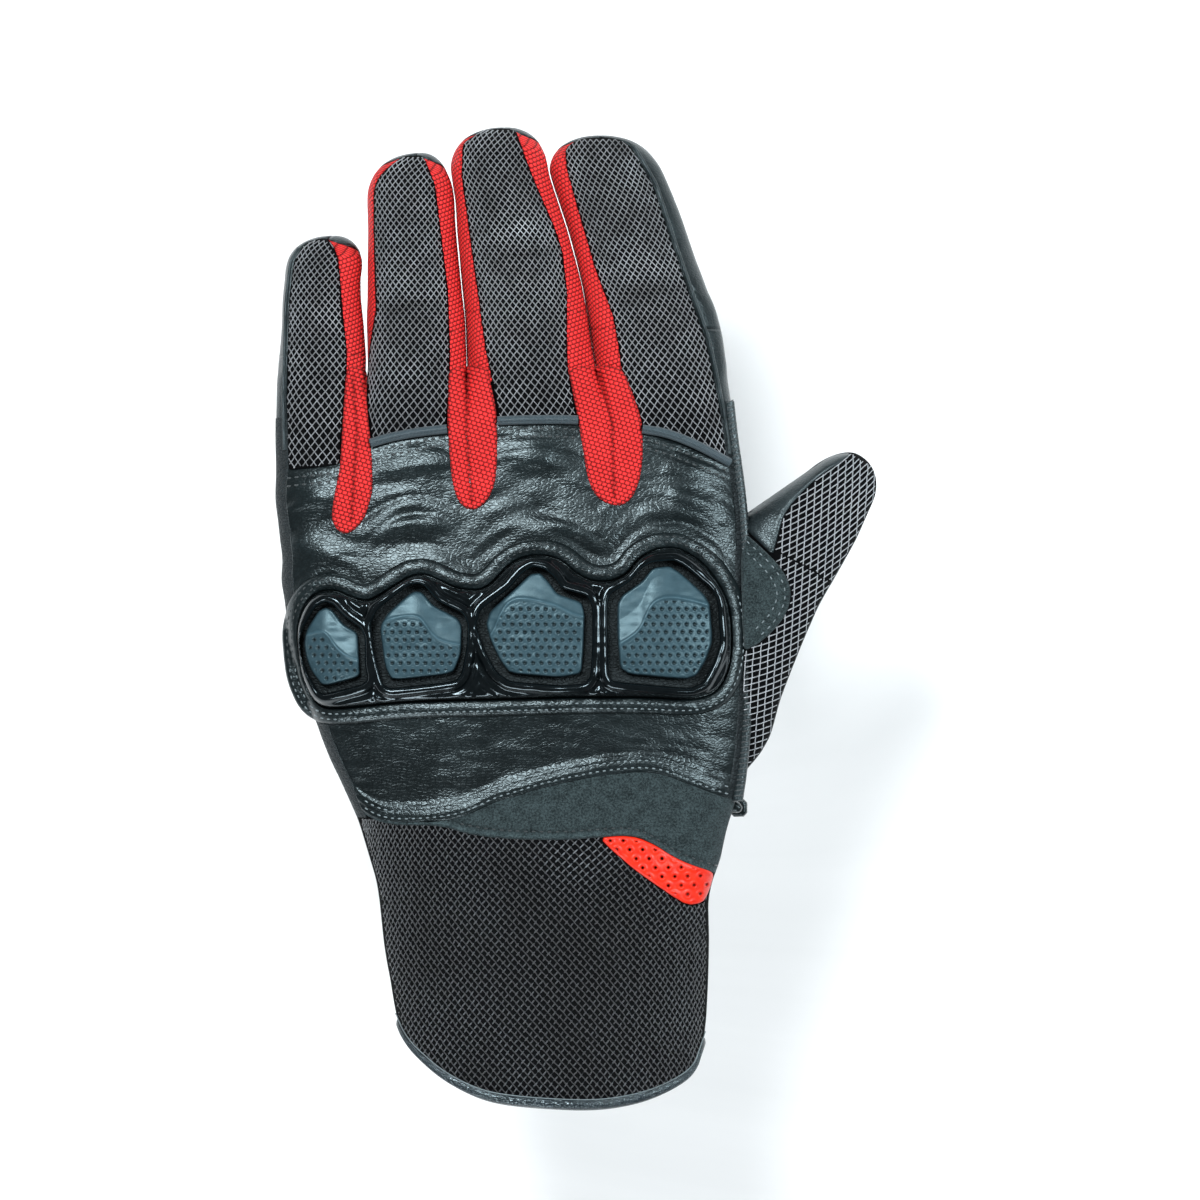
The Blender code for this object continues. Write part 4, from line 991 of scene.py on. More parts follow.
for key, outline in TONGUES.items():
    o = rounded(outline, spacing=.7)
    spine = np.array(SPINE[key])

    def tongue_extra(x, y, d, spine=spine):
        s = distance(resample(spine, 1.0), x, y, closed=False)
        return -.75 * np.exp(-(s / .6) ** 2) * step(.8, 2.4, d) + .2 * noise(x * .25, y * .18, 31) + .2 * (knit_height(x, y) - .6) * step(.1, .6, d)

    def tongue_shade(x, y, d, spine=spine):
        s = distance(resample(spine, 1.0), x, y, closed=False)
        return (1 - .5 * np.exp(-(s / .45) ** 2) * step(.8, 2.4, d)) * (.45 + .55 * np.clip(d / .9, 0, 1)) * (1.0 + .1 * noise(x * .3, y * .3, 5))

    obj = plate(f"tongue_knit_{key}", o, lambda x, y: np.maximum(skin(x, y), top(x, y)) , RED, lift=-.15, thick=1.05, edge=1.2, h=.33,
                extra=tongue_extra, shade=tongue_shade)
    piece(obj, body="hand", nodes=(f"tongue_{key}",), slot="red_knit")

# knit webs that close the gaps between the finger roots, seen when the fingers bend
for key, line in (("little_ring", B1), ("ring_mid", B2), ("mid_index", B3)):
    u, v = np.meshgrid(np.linspace(-1, 1, 15), np.linspace(0, 1, 24))
    yy = 57.2 + 1.6 * (1 - v) - 1.4 * u ** 2
    cx = (across(line, 616.5 - 4 * 58.0) - 575) / 4
    xx = cx + u * 3.4
    zt = top(np.full(1, cx), np.full(1, 57.5))[0] + 1.0
    zz = 3.5 + (zt - 3.5) * v
    piece(grid(f"web_{key}", np.stack([xx, yy, zz], -1), RED, uv=np.stack([xx, zz], -1), flip=True), body="hand", slot="red_knit")

# ------------------------------------------------------------------ knuckle guard
WINDOWS = {
    "little": plan((302, 640), (306, 627), (318, 607), (327, 602), (335, 604), (347, 617), (363, 628), (367, 637), (367, 663), (370, 679), (363, 684), (326, 693),
                   (320, 690), (309, 670), (303, 654)),
    "ring": plan((374, 624), (380, 610), (406, 589), (413, 585), (420, 584), (426, 586), (439, 601), (464, 613), (469, 624), (468, 647), (463, 672), (457, 680),
                 (393, 687), (386, 683), (380, 663), (376, 643)),
    "mid": plan((478, 625), (482, 610), (511, 588), (523, 574), (533, 567), (544, 569), (554, 577), (562, 589), (587, 596), (592, 608), (592, 647), (590, 675),
                (585, 682), (561, 684), (511, 680), (498, 670), (487, 650)),
    "index": plan((608, 603), (611, 594), (630, 582), (641, 569), (651, 563), (673, 561), (683, 566), (710, 589), (716, 601), (719, 643), (712, 663), (702, 681),
                  (689, 687), (613, 680), (609, 673), (608, 632)),
}
PADS = {
    "little": plan((306, 642), (309, 629), (321, 610), (328, 607), (335, 610), (346, 624), (361, 633), (362, 660), (363, 676), (325, 686), (313, 670), (308, 656)),
    "ring": plan((382, 627), (389, 614), (411, 594), (417, 591), (424, 592), (436, 606), (460, 618), (464, 626), (463, 653), (455, 673), (394, 680), (387, 666)),
    "mid": plan((487, 624), (491, 611), (519, 586), (531, 574), (541, 573), (549, 581), (558, 594), (582, 602), (585, 613), (584, 647), (582, 673), (560, 677),
                (511, 673), (501, 660), (492, 641)),
    "index": plan((617, 604), (622, 595), (641, 582), (652, 568), (669, 566), (680, 573), (703, 594), (709, 604), (712, 640), (705, 660), (696, 675), (685, 679),
                  (620, 673), (617, 632)),
}
WIN = {k: rounded(v, spacing=.5, cut=.13, turns=2) for k, v in WINDOWS.items()}


def inset(loop, by):
    p = np.asarray(loop, float)
    n = np.roll(p, -1, axis=0) - np.roll(p, 1, axis=0)
    n = np.stack([-n[:, 1], n[:, 0]], 1) / np.maximum(np.linalg.norm(n, axis=1), 1e-9)[:, None]
    area = np.sum(p[:, 0] * np.roll(p[:, 1], -1) - np.roll(p[:, 0], -1) * p[:, 1])
    return p + n * by * (1 if area > 0 else -1)


def seat(x, y):
    return top(x, y)


def guard_extra(x, y, d):
    dw = np.minimum.reduce([distance(w, x, y) for w in WIN.values()])
    do = distance(GUARD_S, x, y)
    bar = 1 - step(1.9, 2.7, dw)                                # raised bars around the windows
    ridge = .45 * np.exp(-((dw - 1.15) / .75) ** 2)
    shelf = (1 - bar) * (.15 + .4 * np.exp(-((dw - 3.9) / .45) ** 2) + .3 * np.exp(-((dw - 5.4) / .4) ** 2))
    low = -.35 * (1 - step(.2, 1.3, do))
    return 1.15 * bar + ridge + shelf + low


guard = plate("guard_shell", GUARD_S, seat, SHELL, lift=1.5, thick=2.0, edge=.7, h=.38, holes=list(WIN.values()), extra=guard_extra, keep=2.6)
piece(guard, body="hand", nodes=("knuckle_guard",), slot="guard_plastic")

RIDGE = {
    "little": plan((300, 638), (323, 630), (330, 634), (337, 645), (347, 655), (366, 661)),
    "ring": plan((376, 627), (396, 617), (419, 615), (426, 622), (433, 633), (443, 641), (470, 646)),
    "mid": plan((484, 645), (493, 635), (502, 613), (509, 602), (522, 597), (557, 605), (570, 613), (592, 619)),
    "index": plan((608, 650), (630, 637), (640, 629), (646, 614), (653, 601), (669, 596), (695, 601), (716, 608)),
}
PITCH = 2.05


def dimples(x, y):
    """Distance to the nearest centre of a staggered grid."""
    ry = PITCH * .93
    best = np.full(np.shape(x), 9.0)
    for o in (0, 1):
        yy = np.round((y - o * ry) / (2 * ry)) * 2 * ry + o * ry
        xx = np.round((x - o * PITCH / 2) / PITCH) * PITCH + o * PITCH / 2
        best = np.minimum(best, np.hypot(x - xx, y - yy))
    return best


for key, w in WIN.items():
    outline = rounded(PADS[key], spacing=.45, cut=.13, turns=2)
    ridge = rounded(RIDGE[key], closed=False, spacing=.8, turns=2)
    c = outline.mean(0)
    span = np.ptp(outline, axis=0) / 2

    def upper_side(x, y, ridge=ridge):
        return y > at_x(ridge, x)

    def insert_extra(x, y, d, ridge=ridge, c=c, span=span):
        above = y - at_x(ridge, x)
        crown = 1.1 * (1 - np.clip(((x - c[0]) / span[0]) ** 2 * .6 + ((y - c[1]) / span[1]) ** 2 * .6, 0, 1))
        facet = np.where(above > 0, -.16 * np.minimum(above, 6), -.05 * np.minimum(-above, 8))
        lip = .34 * np.exp(-(above / .4) ** 2)
        dim = dimples(x, y)
        hole = -.5 * np.exp(-(dim / .45) ** 4) + .12 * np.exp(-((dim - .75) / .18) ** 2)
        return crown + facet + lip + np.where((above < -.9) & (d > .9), hole, 0)

    # painted shade in the dimples and towards the edge; painted highlight along the ridge lip and on the facet above it
    def insert_shade_and_highlight(x, y, d, ridge=ridge):
        above = y - at_x(ridge, x)
        dim = dimples(x, y)
        s = 1 - .93 * np.exp(-(dim / .5) ** 4) * ((above < -.9) & (d > .9))
        return s * (1 + .5 * np.exp(-((above) / .35) ** 2) + .15 * (above > 0)) * (.45 + .55 * np.clip(d / .5, 0, 1))

    ins = plate(f"insert_panel_{key}", outline, seat, INSERT, lift=1.4, thick=1.6, edge=.55, h=.27, extra=insert_extra, shade=insert_shade_and_highlight,
                keep=1.5)
    piece(ins, body="hand", nodes=(f"guard_insert_{key}",), slot="grey_insert")

well = plate("guard_foam_pad", resample(inset(GUARD_S, .9), .9, True), seat, FOAM, lift=.1, thick=1.1, edge=.8, h=1.6)
dark = leather("foam_cover", (.0012, .0015, .0018), (.004, .005, .006), rough=(.6, .8))
well.data.materials[0] = dark
piece(well, body="hand", nodes=("guard_foam",), slot="foam")

# stitched roll of leather around the guard
RIM_OUT = resample(inset(GUARD_S, -4.3), .8, True)
RIM_IN = resample(inset(GUARD_S, -.15), .8, True)


def rim_extra(x, y, d):
    do = distance(GUARD_S, x, y)
    two = -.3 * np.exp(-((do - 1.75) / .3) ** 2) - .3 * np.exp(-((do - 3.1) / .3) ** 2)
    return two + .12 * noise(x * .5, y * .5, 41)


rim = plate("guard_rim_roll", RIM_OUT, top, LEATHER, lift=.05, thick=1.45, edge=1.9, h=.6, holes=[RIM_IN], extra=rim_extra)
piece(rim, body="hand", nodes=("guard_rim",), slot="black_leather")


def rim_top(x, y):
    do = distance(GUARD_S, x, y)
    d = np.clip(np.minimum(do - .15, 4.3 - do) / 1.9, 0, 1)
    return top(x, y) + .05 + 1.45 * np.sqrt(np.clip(1 - (1 - d) ** 2, 0, 1)) + rim_extra(x, y, d)


pale, dim_rows = [], []
for off in (1.75, 3.1):
    o = resample(inset(GUARD_S, -off), .8, True)
    o = np.concatenate([o, o[:1]])
    low_part = (o[:, 1] < 6) & ((o[:, 1] < -12) | (o[:, 0] > 20))
    for part in np.split(np.arange(len(o)), np.flatnonzero(np.diff(low_part.astype(int)) != 0) + 1):
        if len(part) > 3:
            (pale if low_part[part[1]] else dim_rows).append(o[part])
piece(stitches("rim_stitches_low", pale, rim_top, STITCH_LIGHT, pitch=1.7, length=1.15, radius=.19, lift=.12), body="hand")
piece(stitches("rim_stitches_high", dim_rows, rim_top, STITCH, pitch=1.7, length=1.15, radius=.19, lift=.12), body="hand")

# ------------------------------------------------------------------ wrist: suede panel and orange patch
SUEDE_LOW = plan((352, 800), (372, 816), (393, 824), (441, 823), (466, 831), (499, 836), (559, 838), (598, 835), (632, 833), (653, 842), (678, 859),
                 (708, 870), (722, 874))
suede_low = rounded(SUEDE_LOW, closed=False, spacing=.9)
nu, nv = 160, 50
ph = np.radians(np.linspace(175, 5, nu))
hi = on_line(WAVY_S, ph, -45.0) + .35
lo = on_line(suede_low, ph, -53.0)
lo = np.minimum(lo, hi - .4)
k = np.linspace(0, 1, nv)[:, None]
Y = lo[None, :] + (hi - lo)[None, :] * k
X, _z = section(hand_rows, Y, np.repeat(ph[None, :], nv, 0))


def suede_top(x, y):
    d = y - at_x(suede_low, x)
    roll = .55 * np.exp(-((d - .7) / .75) ** 2) - .35 * np.exp(-((d - 2.0) / .4) ** 2)
    return top(x, y) + .35 + roll + .18 * noise(x * .12, y * .2, 51) - .5 * np.exp(-(np.maximum(d, 0) / .25) ** 2)


Z = suede_top(X, Y)
side = step(.12, .5, np.sin(ph))[None, :]
Z0 = height(hand_rows, X, Y)
Z = Z0 + (Z - Z0) * side
d = Y - at_x(suede_low, X)
# shade values: painted highlight along the rolled lower edge and painted shade in the groove beside it
wrist(grid("suede_panel", np.stack([X, Y, Z], -1), SUEDE, uv=np.stack([X, Y], -1), thick=.9,
           shade=1 + .5 * np.exp(-((d - .8) / .6) ** 2) - .3 * np.exp(-((d - 2.0) / .35) ** 2)), nodes=("suede_wrist_panel",), slot="grey_suede")
xs = np.linspace(-46, 36, 120)
row = np.stack([xs, at_x(suede_low, xs) + 2.0], 1)
ok = row[:, 1] < at_x(WAVY_S, xs) - .8
wrist(stitches("suede_stitches", [row[ok]], suede_top, STITCH, pitch=2.0, length=1.3, radius=.2, lift=.05))
(nx, ny), = plan((735, 807))

PATCH = rounded(plan((599, 835), (620, 833), (638, 835), (656, 843), (680, 858), (708, 868), (714, 874), (708, 892), (702, 901), (687, 903),
                     (669, 892), (635, 868), (613, 849)), spacing=.6, turns=1)


def holes_at(x, y):
    best = np.full(np.shape(x), 9.0)
    px, py = 3.2, 2.25
    for o in (0, 1):
        yy = np.round((y + 55.4 - o * py) / (2 * py)) * 2 * py - 55.4 + o * py
        xx = np.round((x - 2.4 - o * px / 2) / px) * px + 2.4 + o * px / 2
        best = np.minimum(best, np.hypot(x - xx, (y - yy)))
    return best


def patch_extra(x, y, d):
    h = holes_at(x, y)
    return np.where(d > .8, -.75 * np.exp(-(h / .42) ** 4) + .16 * np.exp(-((h - .8) / .25) ** 2), 0) + .1 * noise(x * .4, y * .4, 3)


def patch_shade(x, y, d):
    return np.where(d > .8, 1 - .95 * np.exp(-(holes_at(x, y) / .36) ** 4), 1)


wrist(plate("wrist_patch", PATCH, top, ACCENT, lift=-.15, thick=.85, edge=.6, h=.24, extra=patch_extra, shade=patch_shade), nodes=("wrist_accent",),
      slot="orange_red")

# ------------------------------------------------------------------ cuff
HEM = plan((398, 1022), (404, 1036), (413, 1048), (424, 1058), (441, 1072), (460, 1083), (481, 1092), (502, 1097), (544, 1101), (597, 1103), (637, 1097), (664, 1088),
           (685, 1077), (694, 1068), (698, 1056), (704, 1040))
hem_line = rounded(HEM, closed=False, spacing=.9)
EDGE_W = 2.1
nu, nv = 150, 90
ph = np.radians(np.linspace(174, 6, nu))
lo = on_line(hem_line, ph, -120.0) + EDGE_W * .8
hi = on_line(suede_low, ph, -53.0) + 1.4
k = np.linspace(0, 1, nv)[:, None]
Y = lo[None, :] + (hi - lo)[None, :] * k
X, _z = section(hand_rows, Y, np.repeat(ph[None, :], nv, 0))


def cuff_top(x, y):
    z = top(x, y) - .25
    return z + .5 * noise(x * .05, y * .07, 61) - .9 * bump(x, y, 30.0, -66.0, 14, 1.6, 32)


Z = cuff_top(X, Y)
side = np.clip(np.sin(ph) * 2.5, 0, 1)[None, :]
Z = height(hand_rows, X, Y) * (1 - side) + Z * side
wrist(grid("cuff_net", np.stack([X, Y, Z], -1), UNDER, thick=.8), nodes=("cuff_back_mesh",), slot="net_mesh")

# threads of the cuff net: bright slanting stitches over a dim crossing family, bending round the orange patch
def cuff_tone(x, y):
    near = bump(x, y, 1.0, -59.5, 9, 6)
    return np.clip(.42 + .28 * noise(x * .08, y * .06, 9) + .2 * noise(x * .6, y * .6, 10) + .9 * near, .08, 1.5)


bend_at = np.array(plan((600, 840), (640, 872), (690, 906)))
runs, dim = [], []
for way in (1, -1):
    for n in np.arange(-120, 160):
        ys = np.arange(-123.0, -50.0, .42)
        wx = 1.95
        hgt = 2.35 if way == 1 else 2.1
        u = n + way * (ys + 50) / hgt
        x = -8 + 45 * np.sin(np.clip(u * wx / 46.0, -1.5, 1.5))
        dd = distance(bend_at, x, ys, closed=False)
        x = x + 3.0 * np.exp(-(dd / 9) ** 2) * (1 if way == 1 else .4) + .14 * noise(x, ys, 71)
        l, r, _, _ = hand_rows(ys)
        ok = (np.abs(u * wx / 46.0) < 1.48) & (x > l + .7) & (x < r - .7)
        ok &= (ys > at_x(hem_line, x) + EDGE_W) & (ys < at_x(suede_low, x) + .4) & ~inside(PATCH, x, ys)
        phase = (x / wx + (ys + 50) / 2.2)
        z = cuff_top(x, ys) + (.06 + .24 * np.cos(np.pi * 2 * (ys / 1.4 + n * .5)) if way == 1 else .1)
        idx = np.flatnonzero(ok)
        if len(idx) < 3:
            continue
        for part in np.split(idx, np.flatnonzero(np.diff(idx) > 1) + 1):
            if len(part) >= 3:
                (runs if way == 1 else dim).append(np.column_stack([x[part], ys[part], z[part]]))
wrist(tubes("cuff_threads", runs, THREAD_BRIGHT, .17, 3, .8, colour_factor=cuff_tone), slot="net_mesh")
wrist(tubes("cuff_threads_cross", dim, THREAD_DIM, .14, 3, .8), slot="net_mesh")


def section_ring(ycurve, n=180, drop=0.0, grow=0.0):
    """A closed line round the cuff; ycurve(x) gives its place along the arm."""
    p = 2 * np.pi * np.arange(n) / n
    y = np.full(n, -112.0)
    for _ in range(8):
        x, z = section(hand_rows, y, p)
        y = ycurve(x)
    x, z = section(hand_rows, y, p)
    l, r, lo_, hi_ = hand_rows(y)
    cx, cz = (l + r) / 2, (lo_ + hi_) / 2
    s = 1 + grow / np.hypot(x - cx, z - cz)
    return np.column_stack([cx + (x - cx) * s, y + drop, cz + (z - cz) * s])


# hem binding: a folded strip round the mouth, rolled over the edge
prof = [(EDGE_W, .05), (EDGE_W * .75, .55), (EDGE_W * .3, .75), (0.0, .35), (-.45, -.45), (0.0, -1.2), (EDGE_W * .5, -1.35), (EDGE_W, -1.25)]
rings = [section_ring(lambda x: at_x(hem_line, x), 220, a, g) for a, g in prof]
for i, rg in enumerate(rings):
    rg[:, 2] = np.maximum(rg[:, 2], .15)
P = np.stack(rings, 0)
U = np.stack([np.repeat((np.arange(220) * 1.1)[None, :], len(prof), 0), np.repeat((np.arange(len(prof)) * .8)[:, None], 220, 1)], -1)
hem = grid("hem_fold", P, BINDING, uv=U, close=True)
piece(hem, body="cuff", nodes=("hem_binding",), slot="hem_binding")
ring = section_ring(lambda x: at_x(hem_line, x) + EDGE_W + .15, 200, 0, .18)
piece(tubes("hem_thread", [np.concatenate([ring, ring[:1]])], STITCH_LIGHT, .14, 5), body="cuff")

# palm side of the cuff
nu = 120
ph = np.radians(np.linspace(174, 366, nu))
lo = np.array([v for v in section_ring(lambda x: at_x(hem_line, x) + EDGE_W * .8, 361)[:, 1]])
lo = np.interp(ph, np.linspace(0, 2 * np.pi, 362)[:-1], lo)
lo = np.where(ph > 2 * np.pi, np.interp(ph - 2 * np.pi, np.linspace(0, 2 * np.pi, 362)[:-1], section_ring(lambda x: at_x(hem_line, x) + EDGE_W * .8, 361)[:, 1]), lo)
hi = np.full(nu, -50.0)
Y = lo[None, :] + (hi - lo)[None, :] * np.linspace(0, 1, 60)[:, None]
X, Z = section(hand_rows, Y, np.repeat(ph[None, :], 60, 0))
Z = Z + .35 * noise(X * .08, Y * .12, 81) * np.clip(-np.sin(ph), 0, 1)[None, :]
wrist(grid("cuff_palm_leather", np.stack([X, Y, Z], -1), PALM, thick=1.0, flip=True), nodes=("cuff_palm_panel",), slot="palm_leather")

# ------------------------------------------------------------------ palm
nu, nv = 170, 130
ph = np.radians(np.linspace(158.5, 381.5, nu))
Y = np.repeat(np.linspace(-50.0, 49.6, nv)[:, None], nu, 1)
PH = np.repeat(ph[None, :], nv, 0)
X, Z = section(hand_rows, Y, PH)
s = np.clip(-np.sin(PH), 0, 1)
Z = Z + s * (.45 * np.abs(noise(X * .07, Y * .11, 91)) + .2 * noise(X * .2, Y * .3, 92))
piece(grid("palm_leather_panel", np.stack([X, Y, Z], -1), PALM, thick=1.2, flip=True), body="hand", nodes=("palm_panel",), slot="palm_leather")


def under(x, y):
    return -height(hand_rows, x, y, False)


def flat_low(x, y):
    return np.zeros(np.shape(x))


def mirrored(obj):
    """Turned over, for pieces built face up and laid on the underside."""
    m = obj.data
    co = np.zeros(len(m.vertices) * 3)
    m.vertices.foreach_get("co", co)
    co = co.reshape(-1, 3)
    co[:, 2] *= -1
    m.vertices.foreach_set("co", co.ravel())
    m.flip_normals()
    m.update()
    return obj


PALM_PATCH = rounded([(-57, 34), (-20, 40), (22, 38), (33, 26), (34, 4), (28, -16), (8, -27), (-30, -28), (-50, -20), (-58, 2)], spacing=1.0)
pad = mirrored(plate("palm_patch_leather", PALM_PATCH, lambda x, y: np.full(np.shape(x), -1.55), SMOOTH, lift=0, thick=1.5, edge=1.2, h=1.3,
                     extra=lambda x, y, d: -.18 * np.exp(-((d - 2.0) / .3) ** 2), keep=.6))
piece(pad, body="hand", nodes=("palm_patch",), slot="palm_leather")
o = resample(inset(PALM_PATCH, 2.0), 1.0, True)
piece(mirrored(stitches("palm_patch_stitches", [np.concatenate([o, o[:1]])], lambda x, y: np.full(np.shape(x), -.28), STITCH_LIGHT, pitch=2.4, length=1.7,
                        radius=.22, lift=.05)), body="hand")

# strap: hinged where it is sewn at the thumb side
SX0, SX1, SY0, SY1 = -16.0, 38.6, -55.0, -37.0
strap = rounded([(SX0, SY0 + 3), (SX0, SY1 - 3), (SX0 + 3, SY1), (SX1, SY1), (SX1, SY0), (SX0 + 3, SY0)], spacing=.9, turns=1)
sp = mirrored(plate("strap_leather", strap, lambda x, y: np.full(np.shape(x), -1.9), LEATHER, lift=0, thick=1.55, edge=.8, h=1.1,
                    extra=lambda x, y, d: -.18 * np.exp(-((d - 1.6) / .3) ** 2), keep=0.02))
piece(sp, body="strap", nodes=("closure_strap",), slot="black_leather")
top_side = plate("strap_inner", strap, lambda x, y: np.full(np.shape(x), 1.2), PALM, lift=0, thick=.65, edge=.6, h=2.0, keep=.1)
piece(top_side, body="strap", slot="black_leather")
o = resample(inset(strap, 1.6), 1.0, True)
piece(mirrored(stitches("strap_stitches", [np.concatenate([o, o[:1]])], lambda x, y: np.full(np.shape(x), -.55), STITCH_LIGHT, pitch=2.2, length=1.5,
                        radius=.2, lift=.05)), body="strap")
hp = rounded([(SX0 + 3, SY0 + 2), (SX0 + 23, SY0 + 2), (SX0 + 23, SY1 - 2), (SX0 + 3, SY1 - 2)], spacing=.8, turns=1)
piece(plate("strap_hooks", hp, lambda x, y: np.full(np.shape(x), 1.95), HOOK, lift=0, thick=.6, edge=.3, h=1.0,
            extra=lambda x, y, d: .12 * noise(x * 2.2, y * 2.2, 99), keep=.2), body="strap", nodes=("strap_hook_pad",), slot="hook_tape")
lp = rounded([(-22, -53), (14, -53), (14, -41.5), (-22, -41.5)], spacing=.9, turns=1)
piece(mirrored(plate("strap_loops", lp, lambda x, y: np.full(np.shape(x), -3.6), HOOK, lift=0, thick=.55, edge=.3, h=1.0,
                     extra=lambda x, y, d: .12 * noise(x * 2.2, y * 2.2, 98), keep=.3)), body="hand", nodes=("strap_loop_patch",), slot="hook_tape")
tab = rounded([(39, -50.5), (43.4, -50.5), (43.4, -46), (39, -46)], spacing=.5, turns=1)
piece(plate("strap_anchor_tab", tab, lambda x, y: np.full(np.shape(x), 3.2), LEATHER, lift=0, thick=1.4, edge=.9, h=.5, keep=2.0), body="hand",
      nodes=("strap_tab",), slot="black_leather")

# ------------------------------------------------------------------ thumb
TH_S, TH_A = np.array([28.5, -31.6]), math.radians(30)
AL, SI = np.array([math.sin(TH_A), math.cos(TH_A)]), np.array([math.cos(TH_A), -math.sin(TH_A)])
_thumb = table([(-8, -10, 15.0, 1.0, 22.0), (.4, -11, 15.7, 1, 22.3), (6.3, -11.2, 16.9, 1, 22.5), (11.7, -11.3, 16.9, 1, 22.5), (20.9, -11.5, 14.4, 1, 22.5),
                (28.6, -12, 13.2, 1, 22.5), (36.1, -13, 12.1, 1, 22.5), (46, -15, 11.0, 1, 22.3), (53, -16.0, 11.0, 1, 22), (57, -15.9, 11, 1, 22),
                (65, -12.4, 10.9, 1.1, 21.4), (74.4, -7.9, 9.9, 1.2, 20), (85, -4.4, 8.9, 1.6, 18)])
T_END = 83.8


def thumb_rows(t):
    l, r, low, top_ = _thumb(t)
    q = np.clip((np.asarray(t, float) - (T_END - 9)) / 9, 0, 1)
    f = np.maximum(1 - q ** 2.2, 0) ** (1 / 2.2)
    g = np.maximum(1 - q ** 2.6, 0) ** (1 / 2.6)
    mid, half = (low + top_) / 2, (top_ - low) / 2 * g
    return 1 + (l - 1) * f, 1 + (r - 1) * f, mid - half, mid + half


def thumb_xy(t, s):
    return TH_S[0] + AL[0] * t + SI[0] * s, TH_S[1] + AL[1] * t + SI[1] * s


def thumb_ts(x, y):
    dx, dy = x - TH_S[0], y - TH_S[1]
    return dx * AL[0] + dy * AL[1], dx * SI[0] + dy * SI[1]


def thumb_swell(x, y):
    (ax, ay), (bx, by) = plan((846, 505), (812, 560))
    return .6 * bump(x, y, ax, ay, 7, 8) + .3 * noise(x * .12, y * .12, 101)


def thumb_top(x, y):
    t, s = thumb_ts(np.asarray(x, float), np.asarray(y, float))
    return height(thumb_rows, s, t) + thumb_swell(x, y)


EDGE_X = 43.2
THUMB_ZONES = {"base": (("hand", "thumb_base"), (41.0, -4, 11), (50.5, -4, 11)),
               "tip": (("thumb_base", "thumb_tip"), (*thumb_xy(53.5, 0), AXIS_Z), (*thumb_xy(66.5, 0), AXIS_Z))}
CUT_T = 52.5
for seg in ("base", "tip"):
    bodies, zs, ze = THUMB_ZONES[seg]
    for name, a, b, n, mat, cad, slot_ in (("net", 164, 14, 60, UNDER, "back", "net_mesh"), ("leather", 164, 374, 70, PALM, "palm", "black_leather")):
        ph = np.radians(np.linspace(a, b, n))
        if seg == "base":
            t0 = np.full(n, -8.0)
            for _ in range(14):
                _l, _r, _lo, _hi = thumb_rows(t0)
                s, _z = section(thumb_rows, t0, ph)
                t0 = (EDGE_X - TH_S[0] - s * SI[0]) / AL[0]
            t0 = np.maximum(t0, -8.0)
            T = t0[None, :] + (CUT_T - t0)[None, :] * np.linspace(0, 1, 70)[:, None]
        else:
            k = np.linspace(0, 1, 60)
            tt = CUT_T + (T_END - .02 - CUT_T) * (1 - (1 - k) ** 1.5)
            T = np.repeat(tt[:, None], n, 1)
        S, Z = section(thumb_rows, T, np.repeat(ph[None, :], len(T), 0))
        X, Yy = thumb_xy(T, S)
        Z = Z + thumb_swell(X, Yy) * np.clip(np.sin(ph), 0, 1)[None, :]
        o = grid(f"thumb_{name}_{seg}", np.stack([X, Yy, Z], -1), mat, thick=.9, flip=(a < b))
        piece(o, between=bodies, start=zs, end=ze, nodes=(f"thumb_{seg}_{cad}",), slot=slot_)

STRIP = plan((740, 519), (747, 513), (776, 493), (810, 470), (829, 457), (841, 453.5), (851, 453), (847, 458), (824, 473), (808, 486), (792, 503), (783, 516),
             (779, 530), (775, 545), (772, 556), (758, 542), (744, 528))
strip_o = rounded(STRIP, spacing=.7, turns=1)
CRESCENT = plan((740, 530), (748, 536), (762, 549), (776, 563), (785, 576), (790, 589), (789, 604), (782, 619), (772, 631), (762, 640), (750, 648), (742, 650))
cres_o = rounded(CRESCENT, spacing=.7, turns=1)
outline_net = np.array(plan((743, 530), (776, 560), (772, 545), (779, 523), (792, 502), (824, 472), (847, 454), (860, 450), (880, 460), (880, 500), (867, 535), (845, 575),
                            (825, 608), (808, 645), (797, 673), (785, 702), (776, 738), (764, 758), (746, 776), (743, 776)))
tseg = {"base": [], "tip": []}
for fam in (0, 1):
    for n in np.arange(-70, 90):
        if fam == 0:
            x = np.arange(42.0, 76.0, .5)
            y = n * 1.5 + (x - 43) * .23 - 38 + .012 * (x - 43) ** 2
        else:
            y = np.arange(-42.0, 43.0, .5)
            x = 43.0 + n * 1.85 + (y + 10) * .06 - .5
        x = x + .1 * noise(x, y, 111)
        t, s = thumb_ts(x, y)
        l, r, _, _ = thumb_rows(t)
        ok = inside(outline_net, x, y) & (s > l + .5) & (s < r - .35) & (t < T_END - .8) & ~inside(cres_o, x, y) & ~inside(strip_o, x, y)
        z = thumb_top(x, y) + (.1 if fam else .18 + .16 * np.cos(2 * np.pi * (x / 1.85 + n * .5)))
        for seg, part_ok in (("base", ok & (t <= CUT_T)), ("tip", ok & (t >= CUT_T))):
            idx = np.flatnonzero(part_ok)
            if len(idx) < 3:
                continue
            for part in np.split(idx, np.flatnonzero(np.diff(idx) > 1) + 1):
                if len(part) >= 3:
                    tseg[seg].append(np.column_stack([x[part], y[part], z[part]]))
for seg in ("base", "tip"):
    bodies, zs, ze = THUMB_ZONES[seg]
    piece(tubes(f"thumb_threads_{seg}", tseg[seg], THREAD, .155, 3, .8), between=bodies, start=zs, end=ze, slot="net_mesh")

